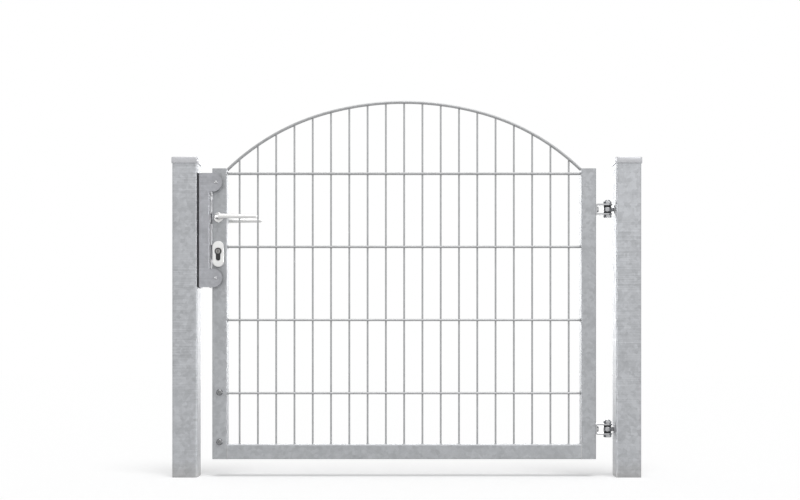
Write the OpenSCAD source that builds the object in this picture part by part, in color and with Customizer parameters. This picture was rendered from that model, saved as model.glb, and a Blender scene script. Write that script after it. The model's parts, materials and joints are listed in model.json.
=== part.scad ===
// Single swing gate for a garden fence: a rod-mesh leaf with an arched top
// between two square posts, hung on two eye-bolt hinges, with a lever lock
// and a folded stop bar on the latch post.
// The origin is the centre of the hinge post's foot. X runs to the right,
// Y away from the front and Z up. All sizes are in millimetres.

/* [Posts] */
// Side of each square post
post_w = 68; // [60:1:80]
// Wall of the post tube
post_wall = 3; // [2:0.5:4]
// Outer corner radius of the post tube
post_corner = 6; // [4:0.5:8]
// Height of the posts without their caps
post_h = 865; // [850:5:1100]
// Clear width between the two posts
clear_w = 1134; // [800:2:1400]
// Thickness of the cap's top and skirt
cap_t = 2.6; // [2:0.2:4]
// Height of the cap's skirt
cap_skirt = 14; // [8:1:25]

/* [Leaf frame] */
// Side of the square frame tube
tube_w = 40; // [36:1:44]
// Wall of the frame tube
tube_wall = 2; // [1.5:0.5:3]
// Outer corner radius of the frame tube
tube_corner = 3; // [2.5:0.5:4]
// Height of the leaf above the ground
leaf_lift = 48; // [30:1:80]
// Height of the two stiles
stile_h = 791; // [760:1:1000]
// Gap between the leaf and the hinge post
hinge_gap = 52; // [50:1:60]
// Gap between the leaf and the latch post
lock_gap = 38; // [34:1:50]
// How far the leaf sits behind the middle of the posts
leaf_back = 5; // [4:0.5:8]
// Thickness of the plates that close the stiles
stile_cap_t = 3; // [2:0.5:5]

/* [Rod mesh] */
// Diameter of the upright wires
wire_v = 5; // [4:0.5:6]
// Diameter of the level wires and of the arch
wire_h = 6; // [5:0.5:8]
// Pitch of the upright wires
pitch_x = 50; // [40:5:100]
// Pitch of the level wires
pitch_z = 200; // [150:10:250]
// Height of the arch over the stiles
arch_rise = 183; // [120:1:220]
// Turn of the arch on its top radius, each side of the middle
arch_shoulder = 16; // [10:1:20]
// Radius of the arch's ends as a share of its top radius
arch_ratio = 0.8; // [0.7:0.05:1]
// Depth to which crossing wires are welded into each other
weld_in = 0.6; // [0.3:0.1:1]
// Distance from a stile's top to the highest level wire
top_wire_drop = 12; // [8:1:40]

/* [Hinges] */
// Diameter of the hinge pin and of the eye bolt's shank
pin_d = 12; // [10:1:14]
// Distance from the hinge post to the pin
pin_out = 18; // [17:0.5:20]
// Outer diameter of the eye
eye_d = 22; // [20:1:24]
// How much taller the eye is than the pin is wide
eye_over = 1; // [0.5:0.5:3]
// Outer height of the hinge bracket
bracket_h = 30; // [28:1:34]
// Width of the bracket, which is also the size of its round ends
bracket_w = 25; // [22:1:26]
// Thickness of the bracket's steel
bracket_t = 4; // [3:0.5:5]
// Height of the lower hinge above the ground
hinge_low_z = 129; // [110:1:200]
// Distance from a stile's top down to the upper hinge
hinge_drop = 110; // [80:1:240]
// Length of the eye bolt inside the post
shank_in = 22; // [15:1:30]

/* [Lock] */
// Distance from a stile's top down to the lever's spindle
spindle_drop = 134; // [100:1:190]
// Distance between the spindle and the key cylinder
lock_centres = 92; // [72:1:92]
// Distance from the leaf's face to the spindle
backset = 17; // [16:0.5:20]
// Side of the square spindle
spindle_w = 8; // [7:1:8]
// Thickness of the lock case
case_t = 16; // [12:1:20]
// Height of the lock's face plate
forend_h = 235; // [220:1:250]
// Width of the lock's face plate
forend_w = 22; // [20:1:24]
// Thickness of the lock's face plate
forend_t = 3; // [2.5:0.5:4]
// Width of the cylinder's cover plate
cover_w = 31; // [28:1:33]
// Height of the cylinder's cover plate
cover_h = 71; // [60:1:80]
// Thickness of the cylinder's cover plate
cover_t = 8; // [5:0.5:10]
// Length of the key cylinder
cylinder_len = 60; // [60:5:70]
// Height of the lever's collar above the tube
rose_h = 5; // [3:0.5:8]
// Diameter of the lever's collar
rose_d = 27; // [24:1:30]

/* [Lever] */
// Diameter of the lever's neck
neck_d = 14; // [13:0.5:15]
// Diameter of the lever's free end
grip_end_d = 11; // [9:0.5:12]
// Length of the lever from the spindle to its end
lever_len = 110; // [90:1:130]
// Distance from the middle of the leaf to the lever
lever_out = 60; // [55:1:70]
// Radius of the bend between neck and grip
lever_bend = 12; // [10:1:16]

/* [Stop bar] */
// Width of the stop bar across the gap
bar_w = 30; // [26:1:34]
// Depth of the stop bar
bar_depth = 58; // [50:1:62]
// Thickness of the stop bar's steel
bar_t = 3; // [2:0.5:3]
// Length of the stop bar
bar_len = 309; // [300:1:360]
// Distance from a stile's top down to the stop bar's upper end
bar_drop = 15; // [4:1:40]
// How far the stop bar stands behind the front of the post
bar_set = 2; // [0:0.5:6]
// Thickness of the pad between the post and the stop bar
pad_t = 3; // [2:0.5:4]
// Height of each lug, which ends in a half circle
lug_h = 50; // [40:1:60]
// How far the lugs reach over the lock stile
lug_over = 29; // [24:1:32]
// Distance from the leaf's face to the rubber buffers
buffer_in = 12; // [9:1:16]
// Diameter of the rubber buffers
buffer_d = 18; // [14:1:20]

/* [Fixings] */
// Diameter of the screws in the lock stile's front
stile_screw_d = 10; // [8:1:10]
// Height of the upper one of these screws
stile_screw_high_z = 230; // [180:1:300]
// Height of the lower one of these screws
stile_screw_low_z = 95; // [70:1:120]
// Diameter of the screws that hold the stop bar
bar_screw_d = 8; // [6:1:8]

/* [Hidden] */
$fn = 64;

// Gap around a piece that is fitted into another
fit = 0.1;
// Radial gap of a pin that turns in its hole
run_fit = 0.05;
// Gap between a stop and the leaf that rests on it
rest_gap = 0.3;
// Number of sides of the mesh wires
wire_sides = 8;
// Length by which cuts run past a face
past = 1;
// Gap between the arcs of an arch wire
arc_seam = 0.02;
// Number of sides of an arch wire's section and of a whole turn of its arcs
arch_wire_sides = 32;
arch_turn_sides = 180;
// Inner radius of a bend in folded steel
bend_in = 1;
// How much larger a tube's inner corner radius is than a constant wall would give
corner_extra = 0.5;
function inner_corner(corner, wall) = corner - wall + corner_extra;

// Posts
post_face = -post_w / 2;
latch_face = post_face - clear_w;
latch_x = latch_face - post_w / 2;

// Leaf
leaf_right = post_face - hinge_gap;
leaf_left = latch_face + lock_gap;
leaf_w = leaf_right - leaf_left;
leaf_mid = (leaf_right + leaf_left) / 2;
leaf_front = leaf_back - tube_w / 2;
leaf_rear = leaf_back + tube_w / 2;
stile_top = leaf_lift + stile_h;
rail_top = leaf_lift + tube_w;
inner_w = leaf_w - 2 * tube_w;
bore_w = tube_w - 2 * tube_wall;
lock_stile_mid = leaf_left + tube_w / 2;
hinge_stile_mid = leaf_right - tube_w / 2;

// Mesh: the wires stand symmetrically about the middle of the leaf
wire_count = 2 * floor((inner_w / 2 - wire_v) / pitch_x) + 1;
wire_first = -(wire_count - 1) / 2 * pitch_x;
wire_touch = (wire_v + wire_h) / 2 * cos(180 / wire_sides);
arch_touch = wire_v / 2 * cos(180 / wire_sides) + wire_h / 2;
top_wire_z = stile_top - top_wire_drop;
level_count = floor((top_wire_z - rail_top - wire_h) / pitch_z) + 1;

// Arch: a top arc and two tighter end arcs that meet it smoothly
arch_half = inner_w / 2;
arch_lean = atan(arch_rise / arch_half);
arch_share = (1 - arch_ratio) * (cos(arch_shoulder) + arch_rise / arch_half * sin(arch_shoulder));
arch_end = arch_lean + acos(cos(arch_lean) * (1 - arch_share) / arch_ratio);
arch_top_r = arch_half / ((1 - arch_ratio) * sin(arch_shoulder) + arch_ratio * sin(arch_end));
arch_end_r = arch_ratio * arch_top_r;
arch_top_z = stile_top + arch_rise - arch_top_r;
arch_side_x = (arch_top_r - arch_end_r) * sin(arch_shoulder);
arch_side_z = arch_top_z + (arch_top_r - arch_end_r) * cos(arch_shoulder);
arch_joint_x = arch_top_r * sin(arch_shoulder);
function arch_height(x) =
    abs(x) < arch_joint_x
        ? arch_top_z + sqrt(arch_top_r ^ 2 - x ^ 2)
        : arch_side_z + sqrt(arch_end_r ^ 2 - (abs(x) - arch_side_x) ^ 2);

// Hinges
hinge_high_z = stile_top - hinge_drop;
pin_x = post_face - pin_out;
eye_h = pin_d + eye_over;
bracket_depth = pin_x + bracket_w / 2 - leaf_right;
bracket_inner_h = bracket_h - 2 * bracket_t;
bracket_bend = bracket_t + bend_in;
washer_h = (bracket_inner_h - eye_h) / 2 - 2 * fit;
pin_washer_d = 20;
post_washer_d = 22;
post_washer_t = 2;
nut_w = 19;
nut_h = 10;
head_h = 7.5;
bracket_screw_d = 8;
bracket_screw_head_w = 13;
bracket_screw_head_h = 5.3;
bracket_screw_len = 14;
bolt_proud = 1;

// Lock
spindle_x = leaf_left + backset;
spindle_z = stile_top - spindle_drop;
cylinder_z = spindle_z - lock_centres;
cylinder_d = 17;
cylinder_leg_w = 10;
cylinder_total_h = 33;
cylinder_fit = 0.4;
plug_d = 13;
plug_len = 26;
plug_proud = 0.5;
key_slot_w = 2;
key_slot_h = 8.5;
forend_below = 62;
forend_low_z = cylinder_z - forend_below;
case_inset = 30;
case_h = forend_h - 2 * case_inset;
case_low_z = forend_low_z + case_inset;
case_room = 1;
case_depth = bore_w - forend_t + tube_wall - case_room;
case_left = leaf_left + forend_t + fit;
latch_h = 24;
latch_t = 12;
latch_len = 10;
dead_h = 34;
cover_raise = 0.5;
cover_low_z = cylinder_z + cylinder_d / 2 - cylinder_total_h / 2 + cover_raise - cover_h / 2;
spindle_room = 1;
spindle_hole_d = spindle_w * sqrt(2) + spindle_room;
stile_lever_hole_d = 20;

// Lever
socket_depth = 22;
neck_in = 2;

// Stop bar
bar_high_z = stile_top - bar_drop;
bar_low_z = bar_high_z - bar_len;
bar_left = latch_face + pad_t;
bar_front = -post_w / 2 + bar_set;
bar_back = bar_front + bar_t;
bar_bend = bar_t + bend_in;
bar_right = bar_left + bar_w;
lug_end = leaf_left + lug_over;
lug_mid = lug_end - lug_h / 2;
lug_low_z = bar_low_z + lug_h / 2;
lug_high_z = bar_high_z - lug_h / 2;
buffer_x = leaf_left + buffer_in;
buffer_h = leaf_front - rest_gap - bar_back;
buffer_screw_d = 4;
buffer_screw_head_d = 8;
buffer_screw_head_h = 2;
buffer_screw_len = 8;
bolt_slot_extra = 6;
bar_screw_head_d = 15;
bar_screw_head_h = 4;
bar_screw_in = 8;
bar_screw_back = 9;
bar_screw_y = leaf_back + bar_screw_back;
bar_screw_inset = 45;
bar_screw_z = [bar_low_z + bar_screw_inset, bar_high_z - bar_screw_inset];

// Screws in the stile's front, with the usual proportions of a domed head
head_d_share = 1.75;
head_h_share = 0.55;
key_share = 0.6;
crown_share = 0.6;
stile_screw_head_d = head_d_share * stile_screw_d;
stile_screw_head_h = head_h_share * stile_screw_d;
stile_screw_len = 16;
hex_key_w = key_share * stile_screw_d;

// Colours
zinc = [0.70, 0.71, 0.72];
bright_zinc = [0.78, 0.79, 0.80];
satin = [0.86, 0.86, 0.85];
black = [0.10, 0.10, 0.11];
dark_steel = [0.30, 0.30, 0.31];

// ---- Shapes that repeat ----

// A square with round corners, centred on the origin
module round_square(side, radius) {
    inner = side - 2 * radius;
    square([side, inner], center = true);
    square([inner, side], center = true);
    for (x = [-1, 1], y = [-1, 1])
        translate([x * inner / 2, y * inner / 2])
            circle(r = radius);
}

// The cross-section of a square tube
module tube_section(side, wall, corner) {
    difference() {
        round_square(side, corner);
        round_square(side - 2 * wall, inner_corner(corner, wall));
    }
}

// An upright square tube
module upright_tube(side, wall, corner, height) {
    linear_extrude(height)
        tube_section(side, wall, corner);
}

// A cylinder along Y from y = 0
module rod_y(d, length) {
    rotate([-90, 0, 0])
        cylinder(d = d, h = length);
}

// A cylinder along X from x = 0
module rod_x(d, length) {
    rotate([0, 90, 0])
        cylinder(d = d, h = length);
}

// A six-sided prism of the given width across its flats
module hexagon(width, height) {
    cylinder(d = width / cos(30), h = height, $fn = 6);
}

// A flat ring
module ring(outer, inner, height) {
    difference() {
        cylinder(d = outer, h = height);
        translate([0, 0, -past])
            cylinder(d = inner, h = height + 2 * past);
    }
}

// An upright outline with round ends, centred on the origin
module slot_outline(width, height) {
    for (side = [-1, 1])
        translate([0, side * (height - width) / 2])
            circle(d = width);
    square([width, height - width], center = true);
}

// A flat shape drawn in X and Z, standing from y_from to y_to
module standing(y_from, y_to) {
    translate([0, y_to, 0])
        rotate([90, 0, 0])
            linear_extrude(y_to - y_from)
                children();
}

// The outline of the key cylinder, grown on every side by gap
module cylinder_outline(gap = 0) {
    leg_w = cylinder_leg_w + 2 * gap;
    drop = cylinder_total_h - (cylinder_d + cylinder_leg_w) / 2;
    circle(d = cylinder_d + 2 * gap);
    translate([-leg_w / 2, -drop])
        square([leg_w, drop]);
    translate([0, -drop])
        circle(d = leg_w);
}

// ---- Posts ----

module post_cap() {
    outer = post_w + 2 * (fit + cap_t);
    color(bright_zinc)
        translate([0, 0, post_h - cap_skirt])
            difference() {
                linear_extrude(cap_skirt + cap_t)
                    round_square(outer, post_corner + cap_t);
                translate([0, 0, -past])
                    linear_extrude(cap_skirt + past)
                        round_square(post_w + 2 * fit, post_corner + fit);
            }
}

module latch_post() {
    color(zinc)
        difference() {
            translate([latch_x, 0, 0])
                upright_tube(post_w, post_wall, post_corner, post_h);
            for (z = bar_screw_z)
                translate([latch_face - post_wall - past, bar_screw_y, z])
                    rod_x(bar_screw_d + 2 * fit, post_wall + 2 * past);
        }
}

module hinge_post() {
    color(zinc)
        difference() {
            upright_tube(post_w, post_wall, post_corner, post_h);
            for (z = [hinge_low_z, hinge_high_z])
                translate([post_face - past, leaf_back, z])
                    rod_x(pin_d + 2 * fit, post_wall + 2 * past);
        }
}

module latch_post_cap() {
    translate([latch_x, 0, 0])
        post_cap();
}

module hinge_post_cap() {
    post_cap();
}

// ---- Stop bar on the latch post ----

// The folded section of the bar, seen from above
module bar_section() {
    translate([bar_left, bar_front])
        difference() {
            union() {
                translate([0, bar_bend])
                    square([bar_w, bar_depth - bar_bend]);
                translate([bar_bend, 0])
                    square([bar_w - 2 * bar_bend, bar_bend]);
                for (x = [bar_bend, bar_w - bar_bend])
                    translate([x, bar_bend])
                        circle(r = bar_bend);
            }
            translate([bar_t, bar_t])
                square([bar_w - 2 * bar_t, bar_depth]);
        }
}

module lug(z) {
    standing(bar_front, bar_back) {
        translate([bar_right - bar_bend, z - lug_h / 2])
            square([lug_mid - bar_right + bar_bend, lug_h]);
        translate([lug_mid, z])
            circle(d = lug_h);
    }
}

module bolt_slot(z, height) {
    translate([
        bar_right - bar_t - past,
        leaf_back - latch_t / 2 - bolt_slot_extra / 2,
        z - height / 2 - bolt_slot_extra / 2
    ])
        cube([bar_t + 2 * past, latch_t + bolt_slot_extra, height + bolt_slot_extra]);
}

module stop_bar() {
    color(zinc)
        difference() {
            union() {
                translate([0, 0, bar_low_z])
                    linear_extrude(bar_high_z - bar_low_z)
                        bar_section();
                lug(lug_low_z);
                lug(lug_high_z);
            }
            bolt_slot(spindle_z, latch_h);
            bolt_slot(cylinder_z, dead_h);
            for (z = bar_screw_z)
                translate([bar_left - past, bar_screw_y, z])
                    rod_x(bar_screw_d + 2 * fit, bar_t + 2 * past);
            for (z = [lug_low_z, lug_high_z])
                translate([buffer_x, bar_front - past, z])
                    rod_y(buffer_screw_d + 2 * fit, bar_t + 2 * past);
        }
}

module stop_bar_pad() {
    color(black)
        difference() {
            translate([latch_face, bar_front, bar_low_z])
                cube([pad_t, bar_depth, bar_high_z - bar_low_z]);
            for (z = bar_screw_z)
                translate([latch_face - past, bar_screw_y, z])
                    rod_x(bar_screw_d + 2 * fit, pad_t + 2 * past);
        }
}

module stop_bar_screws() {
    reach = bar_t + pad_t + post_wall + bar_screw_in;
    color(bright_zinc)
        for (z = bar_screw_z)
            translate([bar_left + bar_t, bar_screw_y, z]) {
                rod_x(bar_screw_head_d, bar_screw_head_h);
                translate([-reach, 0, 0])
                    rod_x(bar_screw_d, reach + past);
            }
}

module buffer(z) {
    color(black)
        difference() {
            translate([buffer_x, bar_back, z])
                rod_y(buffer_d, buffer_h);
            translate([buffer_x, bar_back - past, z])
                rod_y(buffer_screw_d + 2 * fit, buffer_screw_len - bar_t + past + fit);
        }
}

module buffer_upper() {
    buffer(lug_high_z);
}

module buffer_lower() {
    buffer(lug_low_z);
}

module buffer_screws() {
    color(bright_zinc)
        for (z = [lug_low_z, lug_high_z])
            translate([buffer_x, bar_front, z]) {
                translate([0, -buffer_screw_head_h, 0])
                    rod_y(buffer_screw_head_d, buffer_screw_head_h);
                rod_y(buffer_screw_d, buffer_screw_len);
            }
}

// ---- Hinges: eye bolts on the post ----

module eye_bolt(z) {
    color(bright_zinc)
        translate([pin_x, leaf_back, z])
            difference() {
                union() {
                    translate([0, 0, -eye_h / 2])
                        cylinder(d = eye_d, h = eye_h);
                    rod_x(pin_d, pin_out + post_wall + shank_in);
                }
                translate([0, 0, -eye_h / 2 - past])
                    cylinder(d = pin_d + 2 * run_fit, h = eye_h + 2 * past);
            }
}

// A washer on the post's face and a nut inside the post
module eye_bolt_nuts(z) {
    hole = pin_d + 2 * fit;
    color(bright_zinc)
        translate([post_face, leaf_back, z]) {
            rotate([0, -90, 0])
                ring(post_washer_d, hole, post_washer_t);
            translate([post_wall + nut_h, 0, 0])
                rotate([0, -90, 0])
                    difference() {
                        hexagon(nut_w, nut_h);
                        translate([0, 0, -past])
                            cylinder(d = hole, h = nut_h + 2 * past);
                    }
        }
}

module eye_bolt_upper() {
    eye_bolt(hinge_high_z);
}

module eye_bolt_lower() {
    eye_bolt(hinge_low_z);
}

module eye_bolt_nuts_upper() {
    eye_bolt_nuts(hinge_high_z);
}

module eye_bolt_nuts_lower() {
    eye_bolt_nuts(hinge_low_z);
}

// ---- Hinges: bracket, bolt and nut on the leaf ----

// The bent strip, seen from the front
module bracket_section() {
    inner_bend = bracket_bend - bracket_t;
    difference() {
        union() {
            translate([bracket_bend, -bracket_h / 2])
                square([bracket_depth - bracket_bend, bracket_h]);
            translate([0, -bracket_h / 2 + bracket_bend])
                square([bracket_bend, bracket_h - 2 * bracket_bend]);
            for (side = [-1, 1])
                translate([bracket_bend, side * (bracket_h / 2 - bracket_bend)])
                    circle(r = bracket_bend);
        }
        translate([bracket_t, -bracket_inner_h / 2])
            square([bracket_depth, bracket_inner_h]);
    }
}

module hinge_bracket(z) {
    reach = pin_x - leaf_right;
    color(bright_zinc)
        translate([leaf_right, leaf_back, z])
            difference() {
                intersection() {
                    standing(-bracket_w / 2, bracket_w / 2)
                        bracket_section();
                    translate([0, 0, -bracket_h])
                        linear_extrude(2 * bracket_h) {
                            translate([0, -bracket_w / 2])
                                square([reach, bracket_w]);
                            translate([reach, 0])
                                circle(d = bracket_w);
                        }
                }
                translate([reach, 0, -bracket_h])
                    cylinder(d = pin_d + 2 * fit, h = 2 * bracket_h);
                translate([-past, 0, 0])
                    rod_x(bracket_screw_d + 2 * fit, bracket_t + 2 * past);
            }
}

module bracket_screw(z) {
    color(bright_zinc)
        translate([leaf_right + bracket_t, leaf_back, z]) {
            rotate([0, 90, 0])
                hexagon(bracket_screw_head_w, bracket_screw_head_h);
            translate([-bracket_screw_len, 0, 0])
                rod_x(bracket_screw_d, bracket_screw_len + past);
        }
}

module hinge_bolt(z) {
    color(bright_zinc)
        translate([pin_x, leaf_back, z - bracket_h / 2]) {
            translate([0, 0, -head_h])
                hexagon(nut_w, head_h);
            cylinder(d = pin_d, h = bracket_h + nut_h + bolt_proud);
        }
}

module hinge_nut(z) {
    color(bright_zinc)
        translate([pin_x, leaf_back, z + bracket_h / 2])
            difference() {
                hexagon(nut_w, nut_h);
                translate([0, 0, -past])
                    cylinder(d = pin_d + 2 * fit, h = nut_h + 2 * past);
            }
}

module hinge_washers(z) {
    color(black)
        for (side = [-1, 1])
            translate([pin_x, leaf_back, z + side * (bracket_inner_h / 2 - washer_h / 2) - washer_h / 2])
                ring(pin_washer_d, pin_d + 2 * fit, washer_h);
}

module hinge_bracket_upper() {
    hinge_bracket(hinge_high_z);
}

module hinge_bracket_lower() {
    hinge_bracket(hinge_low_z);
}

module bracket_screw_upper() {
    bracket_screw(hinge_high_z);
}

module bracket_screw_lower() {
    bracket_screw(hinge_low_z);
}

module hinge_bolt_upper() {
    hinge_bolt(hinge_high_z);
}

module hinge_bolt_lower() {
    hinge_bolt(hinge_low_z);
}

module hinge_nut_upper() {
    hinge_nut(hinge_high_z);
}

module hinge_nut_lower() {
    hinge_nut(hinge_low_z);
}

module hinge_washers_upper() {
    hinge_washers(hinge_high_z);
}

module hinge_washers_lower() {
    hinge_washers(hinge_low_z);
}

// ---- Leaf frame ----

module stile_cap(x) {
    color(zinc)
        translate([x, leaf_back, stile_top - stile_cap_t])
            linear_extrude(stile_cap_t)
                round_square(bore_w - 2 * fit, inner_corner(tube_corner, tube_wall));
}

module lock_stile() {
    color(zinc)
        difference() {
            translate([lock_stile_mid, leaf_back, leaf_lift])
                upright_tube(tube_w, tube_wall, tube_corner, stile_h);
            translate([leaf_left - past, leaf_back - forend_w / 2 - fit, forend_low_z - fit])
                cube([tube_wall + 2 * past, forend_w + 2 * fit, forend_h + 2 * fit]);
            translate([spindle_x, leaf_front - past, spindle_z])
                rod_y(stile_lever_hole_d, tube_w + 2 * past);
            translate([spindle_x, 0, cylinder_z])
                standing(leaf_front - past, leaf_rear + past)
                    cylinder_outline(cylinder_fit);
            for (z = [stile_screw_low_z, stile_screw_high_z])
                translate([lock_stile_mid, leaf_front - past, z])
                    rod_y(stile_screw_d + 2 * fit, tube_wall + 2 * past);
        }
}

module hinge_stile() {
    color(zinc)
        difference() {
            translate([hinge_stile_mid, leaf_back, leaf_lift])
                upright_tube(tube_w, tube_wall, tube_corner, stile_h);
            for (z = [hinge_low_z, hinge_high_z])
                translate([leaf_right - tube_wall - past, leaf_back, z])
                    rod_x(bracket_screw_d + 2 * fit, tube_wall + 2 * past);
        }
}

module bottom_rail() {
    color(zinc)
        translate([leaf_left + tube_w, leaf_back, leaf_lift + tube_w / 2])
            rotate([0, 90, 0])
                linear_extrude(inner_w)
                    tube_section(tube_w, tube_wall, tube_corner);
}

module lock_stile_cap() {
    stile_cap(lock_stile_mid);
}

module hinge_stile_cap() {
    stile_cap(hinge_stile_mid);
}

// ---- Rod mesh ----

module level_wire(y, z) {
    translate([leaf_left + tube_w, y, z])
        rotate([0, 90, 0])
            rotate([0, 0, 180 / wire_sides])
                cylinder(d = wire_h, h = inner_w, $fn = wire_sides);
}

module upright_wire(x) {
    translate([leaf_mid + x, leaf_back, rail_top])
        rotate([0, 0, 180 / wire_sides])
            cylinder(d = wire_v, h = arch_height(x) - rail_top, $fn = wire_sides);
}

// Part of an arch wire with its centre at x and z, from one angle to another,
// measured from upright
module arch_arc(x, z, radius, from, to) {
    translate([leaf_mid + x, 0, z])
        rotate([90, 0, 0])
            rotate([0, 0, 90 - to])
                rotate_extrude(angle = to - from, $fn = arch_turn_sides)
                    translate([radius, 0])
                        circle(d = wire_h, $fn = arch_wire_sides);
}

// The three arcs meet end to end with a hair's gap. The end arcs run a
// little past the stiles' faces, where they are cut off.
module arch_wire(y) {
    run_in = 0.5;
    seam = arc_seam / arch_top_r * 180 / PI;
    side_from = arch_shoulder + seam;
    translate([0, y, 0]) {
        arch_arc(0, arch_top_z, arch_top_r, -arch_shoulder, arch_shoulder);
        for (side = [0, 1])
            translate([leaf_mid, 0, 0])
                mirror([side, 0, 0])
                    intersection() {
                        translate([-leaf_mid, 0, 0])
                            arch_arc(arch_side_x, arch_side_z, arch_end_r, side_from, arch_end + run_in);
                        translate([0, -wire_h, rail_top])
                            cube([arch_half, 2 * wire_h, stile_h + arch_rise]);
                    }
    }
}

module mesh_panel() {
    color(bright_zinc)
        union() {
            for (i = [0 : wire_count - 1])
                upright_wire(wire_first + i * pitch_x);
            for (side = [-1, 1], i = [0 : level_count - 1])
                level_wire(leaf_back + side * (wire_touch - weld_in), top_wire_z - i * pitch_z);
        }
}

module arch_wires() {
    color(bright_zinc)
        for (side = [-1, 1])
            arch_wire(leaf_back + side * arch_touch);
}

// ---- Lock ----

module lock_case() {
    color(dark_steel)
        difference() {
            translate([case_left, leaf_back - case_t / 2, case_low_z])
                cube([case_depth, case_t, case_h]);
            translate([spindle_x, leaf_back - case_t, spindle_z])
                rod_y(spindle_hole_d, 2 * case_t);
            translate([spindle_x, 0, cylinder_z])
                standing(leaf_back - case_t, leaf_back + case_t)
                    cylinder_outline(cylinder_fit);
            bolt_room(spindle_z, latch_h, latch_len);
        }
}

// The room of a bolt inside the case
module bolt_room(z, height, length) {
    translate([case_left - past, leaf_back - latch_t / 2 - fit, z - height / 2 - fit])
        cube([length - forend_t + past, latch_t + 2 * fit, height + 2 * fit]);
}

module lock_forend() {
    color(satin)
        difference() {
            translate([leaf_left, leaf_back - forend_w / 2, forend_low_z])
                cube([forend_t, forend_w, forend_h]);
            for (bolt = [[spindle_z, latch_h], [cylinder_z, dead_h]])
                translate([
                    leaf_left - past,
                    leaf_back - latch_t / 2 - fit,
                    bolt[0] - bolt[1] / 2 - fit
                ])
                    cube([forend_t + 2 * past, latch_t + 2 * fit, bolt[1] + 2 * fit]);
        }
}

module latch_bolt() {
    color(satin)
        translate([leaf_left, leaf_back - latch_t / 2, spindle_z - latch_h / 2])
            cube([latch_len, latch_t, latch_h]);
}

module dead_bolt() {
    color(satin)
        translate([leaf_left, leaf_back - latch_t / 2, cylinder_z - dead_h / 2])
            cube([forend_t, latch_t, dead_h]);
}

module lever_collar() {
    color(satin)
        translate([spindle_x, 0, spindle_z])
            rotate([90, 0, 0])
                ring(rose_d, neck_d + 2 * fit, rose_h);
}

module lever_collar_front() {
    translate([0, leaf_front, 0])
        lever_collar();
}

module lever_collar_rear() {
    translate([0, leaf_rear + rose_h, 0])
        lever_collar();
}

module cover_plate() {
    color(satin)
        standing(0, cover_t)
            difference() {
                translate([spindle_x, cover_low_z + cover_h / 2])
                    slot_outline(cover_w, cover_h);
                translate([spindle_x, cylinder_z])
                    cylinder_outline(fit);
            }
}

module cover_front() {
    translate([0, leaf_front - cover_t, 0])
        cover_plate();
}

module cover_rear() {
    translate([0, leaf_rear, 0])
        cover_plate();
}

module lock_cylinder() {
    color(dark_steel)
        translate([spindle_x, leaf_back, cylinder_z])
            difference() {
                standing(-cylinder_len / 2, cylinder_len / 2)
                    cylinder_outline();
                for (side = [-1, 1])
                    translate([0, side > 0 ? cylinder_len / 2 - plug_len : -cylinder_len / 2 - past, 0])
                        rod_y(plug_d + 2 * fit, plug_len + past);
            }
}

module cylinder_plugs() {
    color(satin)
        translate([spindle_x, leaf_back, cylinder_z])
            difference() {
                for (side = [0, 1])
                    mirror([0, side, 0])
                        translate([0, cylinder_len / 2 - plug_len, 0])
                            rod_y(plug_d, plug_len + plug_proud);
                for (side = [0, 1])
                    mirror([0, side, 0])
                        translate([-key_slot_w / 2, cylinder_len / 2 - plug_len / 2, -key_slot_h / 2])
                            cube([key_slot_w, plug_len, key_slot_h]);
            }
}

// ---- Lever handle, which turns on the spindle ----

// The rear lever: it starts inside its collar and bends towards the hinges
module lever() {
    grip_len = lever_len - lever_bend - grip_end_d / 2;
    start = tube_w / 2 + neck_in;
    color(satin)
        difference() {
            union() {
                translate([0, start, 0])
                    rod_y(neck_d, lever_out - lever_bend - start);
                translate([lever_bend, lever_out - lever_bend, 0])
                    rotate([0, 0, 90])
                        rotate_extrude(angle = 90)
                            translate([lever_bend, 0])
                                circle(d = neck_d);
                translate([lever_bend, lever_out, 0])
                    rotate([0, 90, 0])
                        cylinder(d1 = neck_d, d2 = grip_end_d, h = grip_len);
                translate([lever_bend + grip_len, lever_out, 0])
                    sphere(d = grip_end_d);
            }
            translate([-spindle_w / 2 - run_fit, start - past, -spindle_w / 2 - run_fit])
                cube([
                    spindle_w + 2 * run_fit,
                    socket_depth + past,
                    spindle_w + 2 * run_fit
                ]);
        }
}

module lever_rear() {
    translate([spindle_x, leaf_back, spindle_z])
        lever();
}

module lever_front() {
    translate([spindle_x, leaf_back, spindle_z])
        mirror([0, 1, 0])
            lever();
}

module spindle() {
    reach = tube_w / 2 + neck_in + socket_depth - fit;
    color(dark_steel)
        translate([spindle_x - spindle_w / 2, leaf_back - reach, spindle_z - spindle_w / 2])
            cube([spindle_w, 2 * reach, spindle_w]);
}

// ---- Screws in the lock stile's front ----

module stile_screws() {
    color(bright_zinc)
        for (z = [stile_screw_low_z, stile_screw_high_z])
            translate([lock_stile_mid, leaf_front, z])
                difference() {
                    union() {
                        rod_y(stile_screw_d, stile_screw_len);
                        rotate([90, 0, 0])
                            cylinder(
                                d1 = stile_screw_head_d,
                                d2 = crown_share * stile_screw_head_d,
                                h = stile_screw_head_h
                            );
                    }
                    translate([0, -stile_screw_head_h / 2, 0])
                        rotate([90, 0, 0])
                            hexagon(hex_key_w, stile_screw_head_h);
                }
}

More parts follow.
